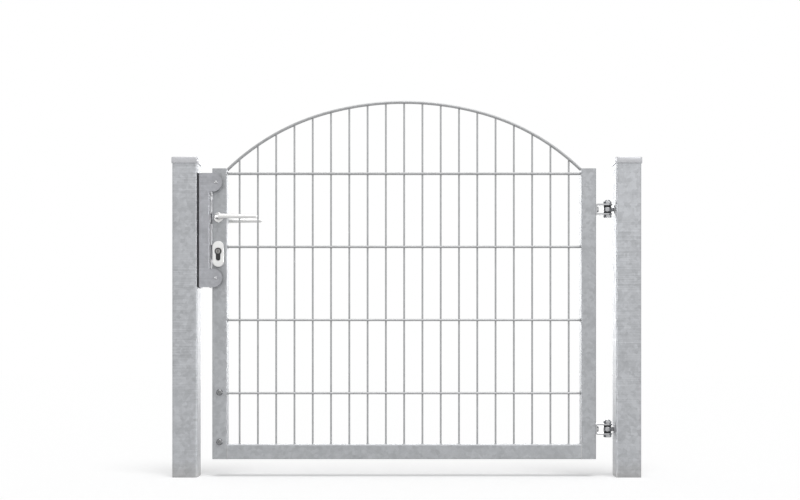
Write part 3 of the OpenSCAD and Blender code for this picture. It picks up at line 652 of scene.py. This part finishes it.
def rod_mesh_group():
    """Upright wires up to the arch, level wires and arch wires in pairs, and their welds."""
    group, t, given, out = new_group(
        "rod_mesh", "GeometryNodeTree",
        [("Uprights", COUNT, 19), ("Upright Pitch", FLOAT, 0.05), ("Upright Radius", FLOAT, 0.0025),
         ("Levels", COUNT, 4), ("Level Pitch", FLOAT, 0.2), ("Level Radius", FLOAT, 0.003),
         ("Half Width", FLOAT, 0.48), ("Bottom", FLOAT, 0.09), ("Top Wire", FLOAT, 0.83),
         ("Spot Weld", FLOAT, 0.003), ("End Weld", FLOAT, 0.004), ("Middle", VECTOR, (0, 0, 0)),
         ("Wire Finish", MATERIAL, None), ("Seed", COUNT, 4)]
        + [(name, FLOAT, 0.1) for name in ARCH_INPUTS],
        [("Geometry", GEOMETRY)],
    )
    arch = arch_group()

    def arch_height(x):
        node = t.add("GeometryNodeGroup", {n: given[n] for n in ARCH_INPUTS} | {"X": x}, node_tree=arch)
        return node.outputs["Z"]

    def position_x():
        here = t.add("GeometryNodeInputPosition").outputs[0]
        return t.add("ShaderNodeSeparateXYZ", {"Vector": here}).outputs["X"]

    def copies(points, shape, **more):
        values = {"Points": points, "Instance": shape} | more
        made = t.add("GeometryNodeInstanceOnPoints", values).outputs[0]
        return t.add("GeometryNodeRealizeInstances", {"Geometry": made}).outputs[0]

    def row(count, start, step):
        node = t.add(
            "GeometryNodeMeshLine", {"Count": count, "Start Location": start, "Offset": step},
            mode="OFFSET",
        )
        return node.outputs[0]

    def line(start, end):
        return t.add("GeometryNodeCurvePrimitiveLine", {"Start": start, "End": end}).outputs[0]

    def tube(curve, radius):
        ring = t.add("GeometryNodeCurvePrimitiveCircle", {"Resolution": 14, "Radius": radius}).outputs[0]
        values = {"Curve": curve, "Profile Curve": ring, "Fill Caps": True}
        return t.add("GeometryNodeCurveToMesh", values).outputs[0]

    def on_arch(geometry, selection=True):
        lifted = t.point(position_x(), 0.0, arch_height(position_x()))
        return t.add("GeometryNodeSetPosition", {"Geometry": geometry, "Position": lifted}).outputs[0]

    def sides(offset):
        return row(2, t.point(0.0, t.math("MULTIPLY", offset, -1.0), 0.0),
                   t.point(0.0, t.math("MULTIPLY", offset, 2.0), 0.0))

    def weld(points, radius, squash):
        ball = t.add("GeometryNodeMeshUVSphere", {"Segments": 10, "Rings": 6, "Radius": radius}).outputs[0]
        wild = t.add("FunctionNodeRandomValue", {"Seed": given["Seed"]}, data_type="FLOAT_VECTOR")
        wild.inputs[0].default_value = [0.85 * s for s in squash]
        wild.inputs[1].default_value = [1.12 * s for s in squash]
        return copies(points, ball, Scale=wild.outputs[0])

    # upright wires
    first = t.math("MULTIPLY", t.math("SUBTRACT", given["Uprights"], 1.0), given["Upright Pitch"])
    first = t.math("MULTIPLY", first, -0.5)
    step = t.point(given["Upright Pitch"])
    feet = row(given["Uprights"], t.point(first, 0.0, given["Bottom"]), step)
    reach = t.math("SUBTRACT", arch_height(position_x()), given["Bottom"])
    uprights = tube(
        copies(feet, line((0, 0, 0), (0, 0, 1)), Scale=t.point(1.0, 1.0, reach)), given["Upright Radius"]
    )
    # level wires and arch wires, in front of and behind the uprights
    across = line(t.point(t.math("MULTIPLY", given["Half Width"], -1.0)), t.point(given["Half Width"]))
    drop = t.point(0.0, 0.0, t.math("MULTIPLY", given["Level Pitch"], -1.0))
    levels = copies(row(given["Levels"], t.point(0.0, 0.0, given["Top Wire"]), drop), across)
    bent = on_arch(t.add("GeometryNodeResampleCurve", {"Curve": across, "Count": 121}).outputs[0])
    beside = t.math("ADD", given["Upright Radius"], given["Level Radius"])
    beside = t.math("SUBTRACT", beside, t.math("MULTIPLY", given["Upright Radius"], 0.2))
    pairs = copies(sides(beside), tube(t.joined(levels, bent), given["Level Radius"]))
    # welds where wires cross, and where they meet the frame
    on_top = on_arch(row(given["Uprights"], t.point(first, 0.0, 0.0), step))
    one_level = row(given["Uprights"], t.point(first, 0.0, given["Top Wire"]), step)
    crossings = copies(row(given["Levels"], (0, 0, 0), drop), one_level)
    spots = copies(sides(given["Upright Radius"]), t.joined(crossings, on_top))
    width = t.math("MULTIPLY", given["Half Width"], 2.0)
    two_ends = row(2, t.point(t.math("MULTIPLY", given["Half Width"], -1.0), 0.0, given["Top Wire"]),
                   t.point(width))
    level_ends = copies(row(given["Levels"], (0, 0, 0), drop), two_ends)
    ends = copies(sides(beside), t.joined(level_ends, on_arch(two_ends)))
    welds = t.joined(
        weld(spots, given["Spot Weld"], (1.0, 0.62, 1.0)),
        weld(ends, given["End Weld"], (0.45, 1.0, 1.0)),
        weld(feet, given["End Weld"], (1.0, 1.0, 0.4)),
    )
    everything = t.joined(uprights, pairs, welds)
    values = {"Geometry": everything, "Translation": given["Middle"]}
    moved = t.add("GeometryNodeTransform", values).outputs[0]
    real = t.add("GeometryNodeRealizeInstances", {"Geometry": moved}).outputs[0]
    painted = t.add("GeometryNodeSetMaterial", {"Geometry": real, "Material": given["Wire Finish"]})
    t.set(out, "Geometry", painted.outputs[0])
    return group


def seam_group():
    """A weld seam of overlapping drops round a square tube, in the plane across X."""
    group, t, given, out = new_group(
        "weld_seam", "GeometryNodeTree",
        [("Side", FLOAT, 0.04), ("Corner", FLOAT, 0.003), ("Radius", FLOAT, 0.0015),
         ("Left", VECTOR, (0, 0, 0)), ("Apart", FLOAT, 1.0), ("Finish", MATERIAL, None), ("Seed", COUNT, 9)],
        [("Geometry", GEOMETRY)],
    )
    square = t.add("GeometryNodeCurvePrimitiveQuadrilateral", {"Width": given["Side"], "Height": given["Side"]})
    soft = t.add(
        "GeometryNodeFilletCurve", {"Curve": square.outputs[0], "Count": 4, "Radius": given["Corner"]},
        mode="POLY",
    )
    spacing = t.math("MULTIPLY", given["Radius"], 1.3)
    dotted = t.add(
        "GeometryNodeCurveToPoints", {"Curve": soft.outputs[0], "Length": spacing}, mode="LENGTH"
    )
    drop = t.add("GeometryNodeMeshUVSphere", {"Segments": 8, "Rings": 5, "Radius": given["Radius"]}).outputs[0]
    wild = t.add("FunctionNodeRandomValue", {"Seed": given["Seed"]}, data_type="FLOAT_VECTOR")
    wild.inputs[0].default_value = (0.8, 0.8, 1.0)
    wild.inputs[1].default_value = (1.15, 1.15, 1.4)
    drops = t.add("GeometryNodeInstanceOnPoints", {
        "Points": dotted.outputs["Points"], "Instance": drop, "Scale": wild.outputs[0],
    }).outputs[0]
    upright = t.add("GeometryNodeTransform", {"Geometry": drops, "Rotation": (0, math.pi / 2, 0)}).outputs[0]
    both = t.add("GeometryNodeMeshLine", {
        "Count": 2, "Start Location": given["Left"], "Offset": t.point(given["Apart"]),
    }, mode="OFFSET").outputs[0]
    seams = t.add("GeometryNodeInstanceOnPoints", {"Points": both, "Instance": upright}).outputs[0]
    real = t.add("GeometryNodeRealizeInstances", {"Geometry": seams}).outputs[0]
    painted = t.add("GeometryNodeSetMaterial", {"Geometry": real, "Material": given["Finish"]})
    t.set(out, "Geometry", painted.outputs[0])
    return group


# ---- Operators: one for each group of pieces ----

class GATE_OT_finishes(bpy.types.Operator):
    """Make every finish and give each frame part its own"""

    bl_idname = "gate.finishes"
    bl_label = "Finishes"

    def execute(self, context):
        make_finishes(context.scene.gate_colours)
        slots = {s["node"]: s["material_slot"] for s in frame["record"]["subparts"]}
        for name, node in frame["nodes"].items():
            if slots[name] not in FINISHES:
                raise RuntimeError(f"{name} has no finish")
            for place in node.material_slots:
                place.material = FINISHES[slots[name]]
        return {"FINISHED"}


class GATE_OT_rod_mesh(bpy.types.Operator):
    """Make the rod mesh with its arch and welds"""

    bl_idname = "gate.rod_mesh"
    bl_label = "Rod mesh"

    def execute(self, context):
        sizes = context.scene.gate_mesh
        values = arch_values(sizes) | {
            "Uprights": sizes.upright_count, "Upright Pitch": sizes.upright_pitch,
            "Upright Radius": sizes.upright_d / 2, "Levels": sizes.level_count,
            "Level Pitch": sizes.level_pitch, "Level Radius": sizes.level_d / 2,
            "Half Width": LEAF_INNER / 2, "Bottom": RAIL_TOP, "Top Wire": STILE_TOP - sizes.top_drop,
            "Spot Weld": sizes.spot_weld, "End Weld": sizes.end_weld,
            "Middle": Vector((LEAF_MID, LEAF_Y, 0)), "Wire Finish": FINISHES["wire_zinc"],
        }
        mesh = run_geometry("rod_mesh", rod_mesh_group(), values)
        piece = finish_piece("rod_mesh", mesh, FINISHES["wire_zinc"])
        stands_for(piece, "leaf", "wire_zinc", "mesh_panel", "arch_wires")
        return {"FINISHED"}


class GATE_OT_frame_welds(bpy.types.Operator):
    """Make the weld seams between the bottom rail and the stiles"""

    bl_idname = "gate.frame_welds"
    bl_label = "Frame welds"

    def execute(self, context):
        sizes = context.scene.gate_mesh
        rail = middle("bottom_rail")
        values = {
            "Side": TUBE - sizes.seam_weld, "Corner": 3 * MM, "Radius": sizes.seam_weld,
            "Left": Vector((low("bottom_rail").x, rail.y, rail.z)), "Apart": span("bottom_rail").x,
            "Finish": FINISHES["weld_zinc"],
        }
        mesh = run_geometry("rail_welds", seam_group(), values)
        piece = finish_piece("rail_welds", mesh, FINISHES["weld_zinc"])
        stands_for(piece, "leaf", "frame_zinc")
        return {"FINISHED"}


class GATE_OT_post_caps(bpy.types.Operator):
    """Make the two post caps with a rounded top edge"""

    bl_idname = "gate.post_caps"
    bl_label = "Post caps"

    def execute(self, context):
        sizes = context.scene.gate_fixings
        for name in ("latch_post_cap", "hinge_post_cap"):
            wide, tall = span(name).x, span(name).z
            wall, soft, corner = sizes.cap_wall, sizes.cap_round, sizes.post_corner
            inside = wide - 2 * wall
            rings = [
                rounded_square(inside, corner, tall - wall),
                rounded_square(inside, corner, 0),
                rounded_square(wide - 0.6 * MM, corner + wall, 0),
                rounded_square(wide, corner + wall, 0.4 * MM),
            ]
            for a in steps(0, math.pi / 2, 6):
                pull = soft * (1 - math.cos(a))
                rings.append(rounded_square(
                    wide - 2 * pull, corner + wall - pull, tall - soft * (1 - math.sin(a))
                ))
            shell = Shell()
            base = middle(name)
            base.z = low(name).z
            shell.add(rings, Matrix.Translation(base))
            piece = shell.piece(name + "_rounded", FINISHES["cap_zinc"], sharp=50)
            stands_for(piece, "posts", "cap_zinc", name)
        return {"FINISHED"}


class GATE_OT_hinges(bpy.types.Operator):
    """Make the eye bolts, hinge bolts, nuts and bracket screws"""

    bl_idname = "gate.hinges"
    bl_label = "Hinges"

    def execute(self, context):
        sizes = context.scene.gate_fixings
        for level in HINGES:
            self.eye_bolt(level, sizes)
            self.hinge_bolt(level, sizes)
            self.bracket_screw(level)
        return {"FINISHED"}

    def eye_bolt(self, level, sizes):
        node = "eye_bolt_" + level
        eye_r, eye_h = span(node).y / 2, span(node).z
        pin_r = sizes.pin_d / 2
        centre = Vector((PIN_AXIS.x, middle(node).y, middle(node).z))
        soft = 2.2 * MM
        hole = pin_r + 0.1 * MM
        profile = [(hole, eye_h / 2 - 0.5 * MM), (hole, -eye_h / 2 + 0.5 * MM), (hole + 0.5 * MM, -eye_h / 2)]
        profile += [
            (eye_r - soft * (1 - math.sin(a)), -eye_h / 2 + soft * (1 - math.cos(a)))
            for a in steps(0, math.pi / 2, 6)
        ]
        profile += [
            (eye_r - soft * (1 - math.cos(a)), eye_h / 2 - soft * (1 - math.sin(a)))
            for a in steps(0, math.pi / 2, 6)
        ]
        profile.append((hole + 0.5 * MM, eye_h / 2))
        shell = Shell()
        shell.add(turned(profile), Matrix.Translation(centre), loop=True)
        start = eye_r - 2.4 * MM
        length = high(node).x - centre.x
        neck = [(pin_r + 0.6 * MM, start - 0.5 * MM), (pin_r * 0.96, start + 3 * MM)]
        shell.add(turned(neck, 32), along(RIGHT, centre))
        rod = threaded(pin_r, start + 2.4 * MM, length, sizes.thread_pitch, sizes.thread_depth)
        shell.add(rod, along(RIGHT, centre))
        piece = shell.piece("eye_bolt_" + level + "_forged", FINISHES["fixing_zinc"])
        stands_for(piece, "posts", "fixing_zinc", node)

    def hinge_bolt(self, level, sizes):
        bolt, nut = "hinge_bolt_" + level, "hinge_nut_" + level
        foot = middle(bolt)
        foot.z = low(bolt).z
        width = span(bolt).y
        radius = sizes.pin_d / 2
        bracket = "hinge_bracket_" + level
        head = low(bracket).z - foot.z
        shell = Shell()
        shell.add(turned(hexagon_head(width, head), hexagon=width), Matrix.Translation(foot))
        shank = low(nut).z - foot.z
        shell.add(turned([(radius, head - 1 * MM), (radius, shank)], 32), Matrix.Translation(foot))
        rod = threaded(radius, shank, span(bolt).z, sizes.thread_pitch, sizes.thread_depth)
        shell.add(rod, Matrix.Translation(foot))
        piece = shell.piece(bolt + "_cut", FINISHES["fixing_zinc"])
        stands_for(piece, "leaf", "fixing_zinc", bolt)
        shell = Shell()
        seat = middle(nut)
        seat.z = low(nut).z
        profile = hexagon_head(width, span(nut).z, collar=2.6 * MM)
        hole = [(radius + 0.1 * MM, span(nut).z - 0.6 * MM), (radius + 0.1 * MM, 0.4 * MM)]
        shell.add(turned(profile + hole, hexagon=width), Matrix.Translation(seat), loop=True)
        piece = shell.piece(nut + "_cut", FINISHES["fixing_zinc"])
        stands_for(piece, "leaf", "fixing_zinc", nut)

    def bracket_screw(self, level):
        node = "bracket_screw_" + level
        width = span(node).y
        seat = Vector((low("hinge_bracket_" + level).x + 4 * MM, middle(node).y, middle(node).z))
        shell = Shell()
        shell.add(turned(hexagon_head(width, high(node).x - seat.x), hexagon=width), along(RIGHT, seat))
        shell.add(turned([(4 * MM, low(node).x - seat.x), (4 * MM, 1 * MM)], 24), along(RIGHT, seat))
        piece = shell.piece(node + "_cut", FINISHES["fixing_zinc"])
        stands_for(piece, "leaf", "fixing_zinc", node)


class GATE_OT_screws(bpy.types.Operator):
    """Make the domed socket screws, the stop bar's screws and the rubber buffers"""

    bl_idname = "gate.screws"
    bl_label = "Screws and buffers"

    def execute(self, context):
        self.stile_screws()
        self.bar_screws()
        self.buffers()
        return {"FINISHED"}

    def stile_screws(self):
        node = "stile_screws"
        head_d = span(node).x
        face = low("lock_stile").y
        head_h = face - low(node).y
        shell = Shell()
        for z in (low(node).z + head_d / 2, high(node).z - head_d / 2):
            seat = Vector((middle(node).x, face, z))
            shell.add(domed_screw(head_d, head_h, 6 * MM), along(FRONT, seat))
            shell.add(turned([(5 * MM, 0), (5 * MM, 16 * MM)], 24), along(BACK, seat))
        piece = shell.piece("stile_screws_domed", FINISHES["screw_zinc"], sharp=30)
        stands_for(piece, "leaf", "fixing_zinc", node)

    def bar_screws(self):
        node = "stop_bar_screws"
        head_d = span(node).y
        inside = low("stop_bar").x + 3 * MM
        head_h = high(node).x - inside
        shell = Shell()
        for z in (low(node).z + head_d / 2, high(node).z - head_d / 2):
            seat = Vector((inside, middle(node).y, z))
            shell.add(domed_screw(head_d, head_h, 5 * MM), along(RIGHT, seat))
            shell.add(turned([(4 * MM, low(node).x - inside), (4 * MM, 0)], 24), along(RIGHT, seat))
        piece = shell.piece("stop_bar_screws_domed", FINISHES["fixing_zinc"], sharp=30)
        stands_for(piece, "posts", "fixing_zinc", node)
        node = "buffer_screws"
        face = low("stop_bar").y
        head_d = span(node).x
        shell = Shell()
        for z in (low(node).z + head_d / 2, high(node).z - head_d / 2):
            seat = Vector((middle(node).x, face, z))
            shell.add(domed_screw(head_d, face - low(node).y, 2.5 * MM, 32), along(FRONT, seat))
            shell.add(turned([(2 * MM, 0), (2 * MM, 8 * MM)], 16), along(BACK, seat))
        piece = shell.piece("buffer_screws_domed", FINISHES["fixing_zinc"], sharp=30)
        stands_for(piece, "posts", "fixing_zinc", node)

    def buffers(self):
        for level in HINGES:
            node = "buffer_" + level
            radius, tall = span(node).x / 2, span(node).y
            seat = Vector((middle(node).x, low(node).y, middle(node).z))
            soft = 2 * MM
            profile = [(radius, 0), (radius, tall * 0.25), (radius - 0.8 * MM, tall * 0.3)]
            profile += [(radius - 0.8 * MM, tall * 0.4), (radius - 0.3 * MM, tall * 0.45)]
            profile += [
                (radius - 0.3 * MM - soft * (1 - math.cos(a)), tall - soft * (1 - math.sin(a)))
                for a in steps(0, math.pi / 2, 6)
            ]
            shell = Shell()
            shell.add(turned(profile), along(BACK, seat))
            piece = shell.piece(node + "_moulded", FINISHES["rubber"])
            stands_for(piece, "posts", "rubber", node)


class GATE_OT_lock_furniture(bpy.types.Operator):
    """Make the cylinder covers, lever collars and face plate screws"""

    bl_idname = "gate.lock_furniture"
    bl_label = "Lock furniture"

    def execute(self, context):
        sizes = context.scene.gate_fixings
        for side in ("front", "rear"):
            self.cover("cover_" + side, sizes)
            self.collar("lever_collar_" + side, sizes, FRONT if side == "front" else BACK)
        self.plate_screws()
        return {"FINISHED"}

    def cover(self, node, sizes):
        """An oval plate with a rounded edge round the key cylinder's outline."""
        wide, tall = span(node).x, span(node).z
        centre = middle(node)
        key = Vector((0, high("lock_cylinder").z - sizes.cylinder_d / 2 - centre.z))
        soft = sizes.cover_round
        curve = bpy.data.curves.new(node, "CURVE")
        curve.dimensions, curve.fill_mode = "2D", "BOTH"
        curve.extrude, curve.bevel_depth = span(node).y / 2 - soft, soft
        curve.bevel_resolution, curve.offset = 4, -soft
        for outline in (self.oval(wide, tall), self.key_outline(key, sizes)):
            spline = curve.splines.new("POLY")
            spline.points.add(len(outline) - 1)
            for point, place in zip(spline.points, outline):
                point.co = (*place, 0, 1)
            spline.use_cyclic_u = True
        holder = bpy.data.objects.new(node + "_maker", curve)
        bpy.context.scene.collection.objects.link(holder)
        depsgraph = bpy.context.evaluated_depsgraph_get()
        mesh = bpy.data.meshes.new_from_object(holder.evaluated_get(depsgraph))
        bpy.data.objects.remove(holder)
        mesh.transform(Matrix.Translation(centre) @ Matrix.Rotation(math.pi / 2, 4, "X"))
        bm = bmesh.new()
        bm.from_mesh(mesh)
        bmesh.ops.remove_doubles(bm, verts=bm.verts, dist=0.001 * MM)
        bmesh.ops.recalc_face_normals(bm, faces=bm.faces)
        bm.to_mesh(mesh)
        bm.free()
        mesh.name = node + "_rounded"
        piece = finish_piece(node + "_rounded", mesh, FINISHES["satin_steel"], sharp=25)
        stands_for(piece, "leaf", "satin_steel", node)

    def oval(self, wide, tall):
        radius, straight = wide / 2, (tall - wide) / 2
        points = []
        for start, lift in ((0, straight), (math.pi, -straight)):
            for a in steps(start, start + math.pi, 25):
                points.append((radius * math.cos(a), radius * math.sin(a) + lift))
        return points

    def key_outline(self, key, sizes):
        """The outline of the key cylinder: a circle with a leg below it."""
        big, leg = sizes.cylinder_d / 2 + 0.2 * MM, sizes.cylinder_leg / 2 + 0.2 * MM
        meet = math.asin(leg / big)
        drop = span("lock_cylinder").z - sizes.cylinder_d / 2 - sizes.cylinder_leg / 2
        points = [
            (big * math.cos(a), key.y + big * math.sin(a))
            for a in steps(-math.pi / 2 + meet, 1.5 * math.pi - meet, 25)
        ]
        points += [
            (leg * math.cos(a), key.y - drop + leg * math.sin(a))
            for a in steps(math.pi, 2 * math.pi, 13)
        ]
        return points

    def collar(self, node, sizes, axis):
        radius, tall = span(node).x / 2, span(node).y
        face = high(node).y if axis is FRONT else low(node).y
        seat = Vector((SPINDLE_AXIS.x, face, SPINDLE_AXIS.z))
        hole = sizes.lever_neck + 0.1 * MM
        soft = 2.4 * MM
        profile = [(hole, tall - 0.4 * MM), (hole, 0), (radius, 0)]
        profile += [
            (radius - soft * (1 - math.cos(a)), tall - soft * (1 - math.sin(a)))
            for a in steps(0, math.pi / 2, 7)
        ]
        profile.append((hole + 0.4 * MM, tall))
        shell = Shell()
        shell.add(turned(profile, 64), along(axis, seat), loop=True)
        piece = shell.piece(node + "_rounded", FINISHES["satin_steel"])
        stands_for(piece, "leaf", "satin_steel", node)

    def plate_screws(self):
        node = "lock_forend"
        shell = Shell()
        inset = 12 * MM
        for z in (low(node).z + inset, high(node).z - inset):
            seat = Vector((low(node).x + 0.3 * MM, middle(node).y, z))
            head = turned([(3.6 * MM, 0), (3.6 * MM, 0.25 * MM), (3.2 * MM, 0.35 * MM)], 32)
            socket = turned([(1, 0.3 * MM), (1, 0.1 * MM)], 32, hexagon=3 * MM)
            shell.add(head + socket, along(-RIGHT, seat))
        piece = shell.piece("face_plate_screws", FINISHES["fixing_zinc"], sharp=30)
        stands_for(piece, "leaf", "fixing_zinc")


class GATE_OT_levers(bpy.types.Operator):
    """Make the front and rear lever as bent, tapered oval bars"""

    bl_idname = "gate.levers"
    bl_label = "Levers"

    def execute(self, context):
        sizes = context.scene.gate_fixings
        for side, facing in (("front", -1), ("rear", 1)):
            self.lever("lever_" + side, facing, sizes)
        return {"FINISHED"}

    def lever(self, node, facing, sizes):
        neck, tip, bend = sizes.lever_neck, sizes.lever_end, sizes.lever_bend
        start = low(node).y if facing > 0 else high(node).y
        outer = high(node).y - neck if facing > 0 else low(node).y + neck
        axis_x, z = SPINDLE_AXIS.x, SPINDLE_AXIS.z
        end_x = high(node).x
        path = [Vector((axis_x, y, z)) for y in steps(start, outer - facing * bend, 6)]
        heads = [Vector((0, facing, 0))] * len(path)
        for a in steps(0, math.pi / 2, 14)[1:]:
            path.append(Vector((
                axis_x + bend * (1 - math.cos(a)), outer - facing * bend * (1 - math.sin(a)), z
            )))
            heads.append(Vector((math.sin(a), facing * math.cos(a), 0)))
        grip = [Vector((x, outer, z)) for x in steps(axis_x + bend, end_x - tip, 14)[1:]]
        path += grip
        heads += [RIGHT] * len(grip)
        bent = len(path) - len(grip)
        rings = []
        for i, (place, head) in enumerate(zip(path, heads)):
            along_grip = max(0, (i - bent + 1) / len(grip))
            tall = neck + (tip - neck) * along_grip ** 0.8
            deep = neck + (tip + 0.4 * MM - neck) * along_grip
            rings.append(self.ring(place, head, deep, tall))
        for a in steps(0, math.pi / 2, 7)[1:]:
            place = path[-1] + RIGHT * tip * math.sin(a)
            shrink = max(math.cos(a), 0.02)
            rings.append(self.ring(place, RIGHT, (tip + 0.4 * MM) * shrink, tip * shrink))
        shell = Shell()
        shell.add(rings)
        piece = shell.piece(node + "_bent", FINISHES["satin_steel"])
        stands_for(piece, "handle", "satin_steel", node)

    def ring(self, place, head, deep, tall, count=32):
        across = UP.cross(head)
        return [
            place + across * deep * math.cos(a) + UP * tall * math.sin(a)
            for a in [2 * math.pi * i / count for i in range(count)]
        ]


class GATE_OT_stage(bpy.types.Operator):
    """Make the camera, the lamps, the sky and the floor"""

    bl_idname = "gate.stage"
    bl_label = "Stage"

    def execute(self, context):
        stage = context.scene.gate_stage
        self.camera(context, stage)
        self.lamps(context, self.floor(context, stage))
        self.sky(context, stage)
        context.scene.view_settings.view_transform = "Standard"
        return {"FINISHED"}

    def camera(self, context, stage):
        data = bpy.data.cameras.new("camera")
        data.lens, data.sensor_width = stage.lens, 36
        data.shift_y = stage.rise
        camera = bpy.data.objects.new("camera", data)
        camera.location = (LEAF_MID - stage.aside, LEAF_Y - stage.distance, stage.eye_height)
        camera.rotation_euler = (math.pi / 2, 0, 0)
        context.scene.collection.objects.link(camera)
        context.scene.camera = camera

    def lamps(self, context, floor):
        """A soft key, low side lamps and a back panel that light only broad inner faces, and a top lamp."""
        objects = bpy.data.objects
        thin = [floor, objects["rod_mesh"]]
        left_post = [frame["nodes"]["latch_post"], objects["latch_post_cap_rounded"]]
        right_post = [frame["nodes"]["hinge_post"], objects["hinge_post_cap_rounded"]]
        aim = Vector((LEAF_MID, 0, 0.5))
        for name, place, wide, high_side, power, unlit in (
            ("key", (1.4, -3.0, 2.8), 1.6, 1.6, 24, [floor]),
            ("left_side", (-4.6, 0.2, 0.6), 2.0, 1.0, 110, thin + left_post),
            ("right_side", (3.4, 0.2, 0.6), 2.0, 1.0, 110, thin + right_post),
            ("back", (LEAF_MID, 6.0, 1.4), 5.0, 2.6, 120, thin),
        ):
            data = bpy.data.lights.new(name, "AREA")
            data.shape, data.energy = "RECTANGLE", power
            data.size, data.size_y = wide, high_side
            lamp = bpy.data.objects.new(name, data)
            lamp.location = place
            lamp.rotation_euler = (aim - Vector(place)).to_track_quat("-Z", "Y").to_euler()
            skipped = bpy.data.collections.new("not_lit_by_" + name)
            for item in unlit:
                skipped.objects.link(item)
            for entry in skipped.collection_objects:
                entry.light_linking.link_state = "EXCLUDE"
            lamp.light_linking.receiver_collection = skipped
            context.scene.collection.objects.link(lamp)
        data = bpy.data.lights.new("top", "SUN")
        data.energy, data.angle = 1.2, math.radians(28)
        lamp = bpy.data.objects.new("top", data)
        lamp.rotation_euler = (math.radians(20), math.radians(5), 0)
        context.scene.collection.objects.link(lamp)

    def sky(self, context, stage):
        world = bpy.data.worlds.new("sky")
        world.use_nodes = True
        tree = Tree(world.node_tree)
        world.node_tree.nodes.clear()
        rays = tree.add("ShaderNodeLightPath").outputs
        seen = tree.math("MAXIMUM", rays["Is Camera Ray"], rays["Is Transmission Ray"])
        seen = tree.math("MAXIMUM", seen, rays["Is Glossy Ray"])
        strength = tree.math("ADD", stage.sky, tree.math("MULTIPLY", seen, 1 - stage.sky))
        light = tree.add("ShaderNodeBackground", {"Color": (1, 1, 1, 1), "Strength": strength})
        tree.add("ShaderNodeOutputWorld", {"Surface": light.outputs[0]})
        context.scene.world = world

    def floor(self, context, stage):
        reach = 14.0
        mesh = bpy.data.meshes.new("floor")
        corners = [(-reach, -reach, 0), (reach, -reach, 0), (reach, reach, 0), (-reach, reach, 0)]
        mesh.from_pydata(corners, [], [(0, 1, 2, 3)])
        floor = bpy.data.objects.new("floor", mesh)
        context.scene.collection.objects.link(floor)
        material = bpy.data.materials.new("floor")
        material.use_nodes = True
        tree = Tree(material.node_tree)
        material.node_tree.nodes.clear()
        seen = tree.add("ShaderNodeLightPath").outputs["Is Camera Ray"]
        matt = tree.add("ShaderNodeBsdfDiffuse", {"Color": four(stage.floor)})
        lift = tree.math("MULTIPLY", seen, stage.floor_lift)
        glow = tree.add("ShaderNodeEmission", {"Color": (1, 1, 1, 1), "Strength": lift})
        mix = tree.add("ShaderNodeAddShader", {0: matt.outputs[0], 1: glow.outputs[0]})
        tree.add("ShaderNodeOutputMaterial", {"Surface": mix.outputs[0]})
        mesh.materials.append(material)
        return floor


OPERATORS = (
    GATE_OT_finishes, GATE_OT_rod_mesh, GATE_OT_frame_welds, GATE_OT_post_caps, GATE_OT_hinges,
    GATE_OT_screws, GATE_OT_lock_furniture, GATE_OT_levers, GATE_OT_stage,
)


class GATE_PT_panel(bpy.types.Panel):
    """Lists the gate's groups of pieces"""

    bl_idname = "GATE_PT_panel"
    bl_label = "Gate"
    bl_space_type = "VIEW_3D"
    bl_region_type = "UI"
    bl_category = "Gate"

    def draw(self, context):
        for operator in OPERATORS:
            self.layout.operator(operator.bl_idname)


GROUPS = {
    "gate_mesh": GateMeshSizes, "gate_fixings": GateFixingSizes,
    "gate_colours": GateColours, "gate_stage": GateStage,
}


def register():
    for group in (*GROUPS.values(), *OPERATORS, GATE_PT_panel):
        bpy.utils.register_class(group)
    for name, group in GROUPS.items():
        setattr(bpy.types.Scene, name, PointerProperty(type=group))


def unregister():
    for name in GROUPS:
        delattr(bpy.types.Scene, name)
    for group in reversed((*GROUPS.values(), *OPERATORS, GATE_PT_panel)):
        bpy.utils.unregister_class(group)


def main():
    register()
    for operator in OPERATORS:
        area, name = operator.bl_idname.split(".")
        getattr(getattr(bpy.ops, area), name)()


if __name__ == "__main__":
    main()
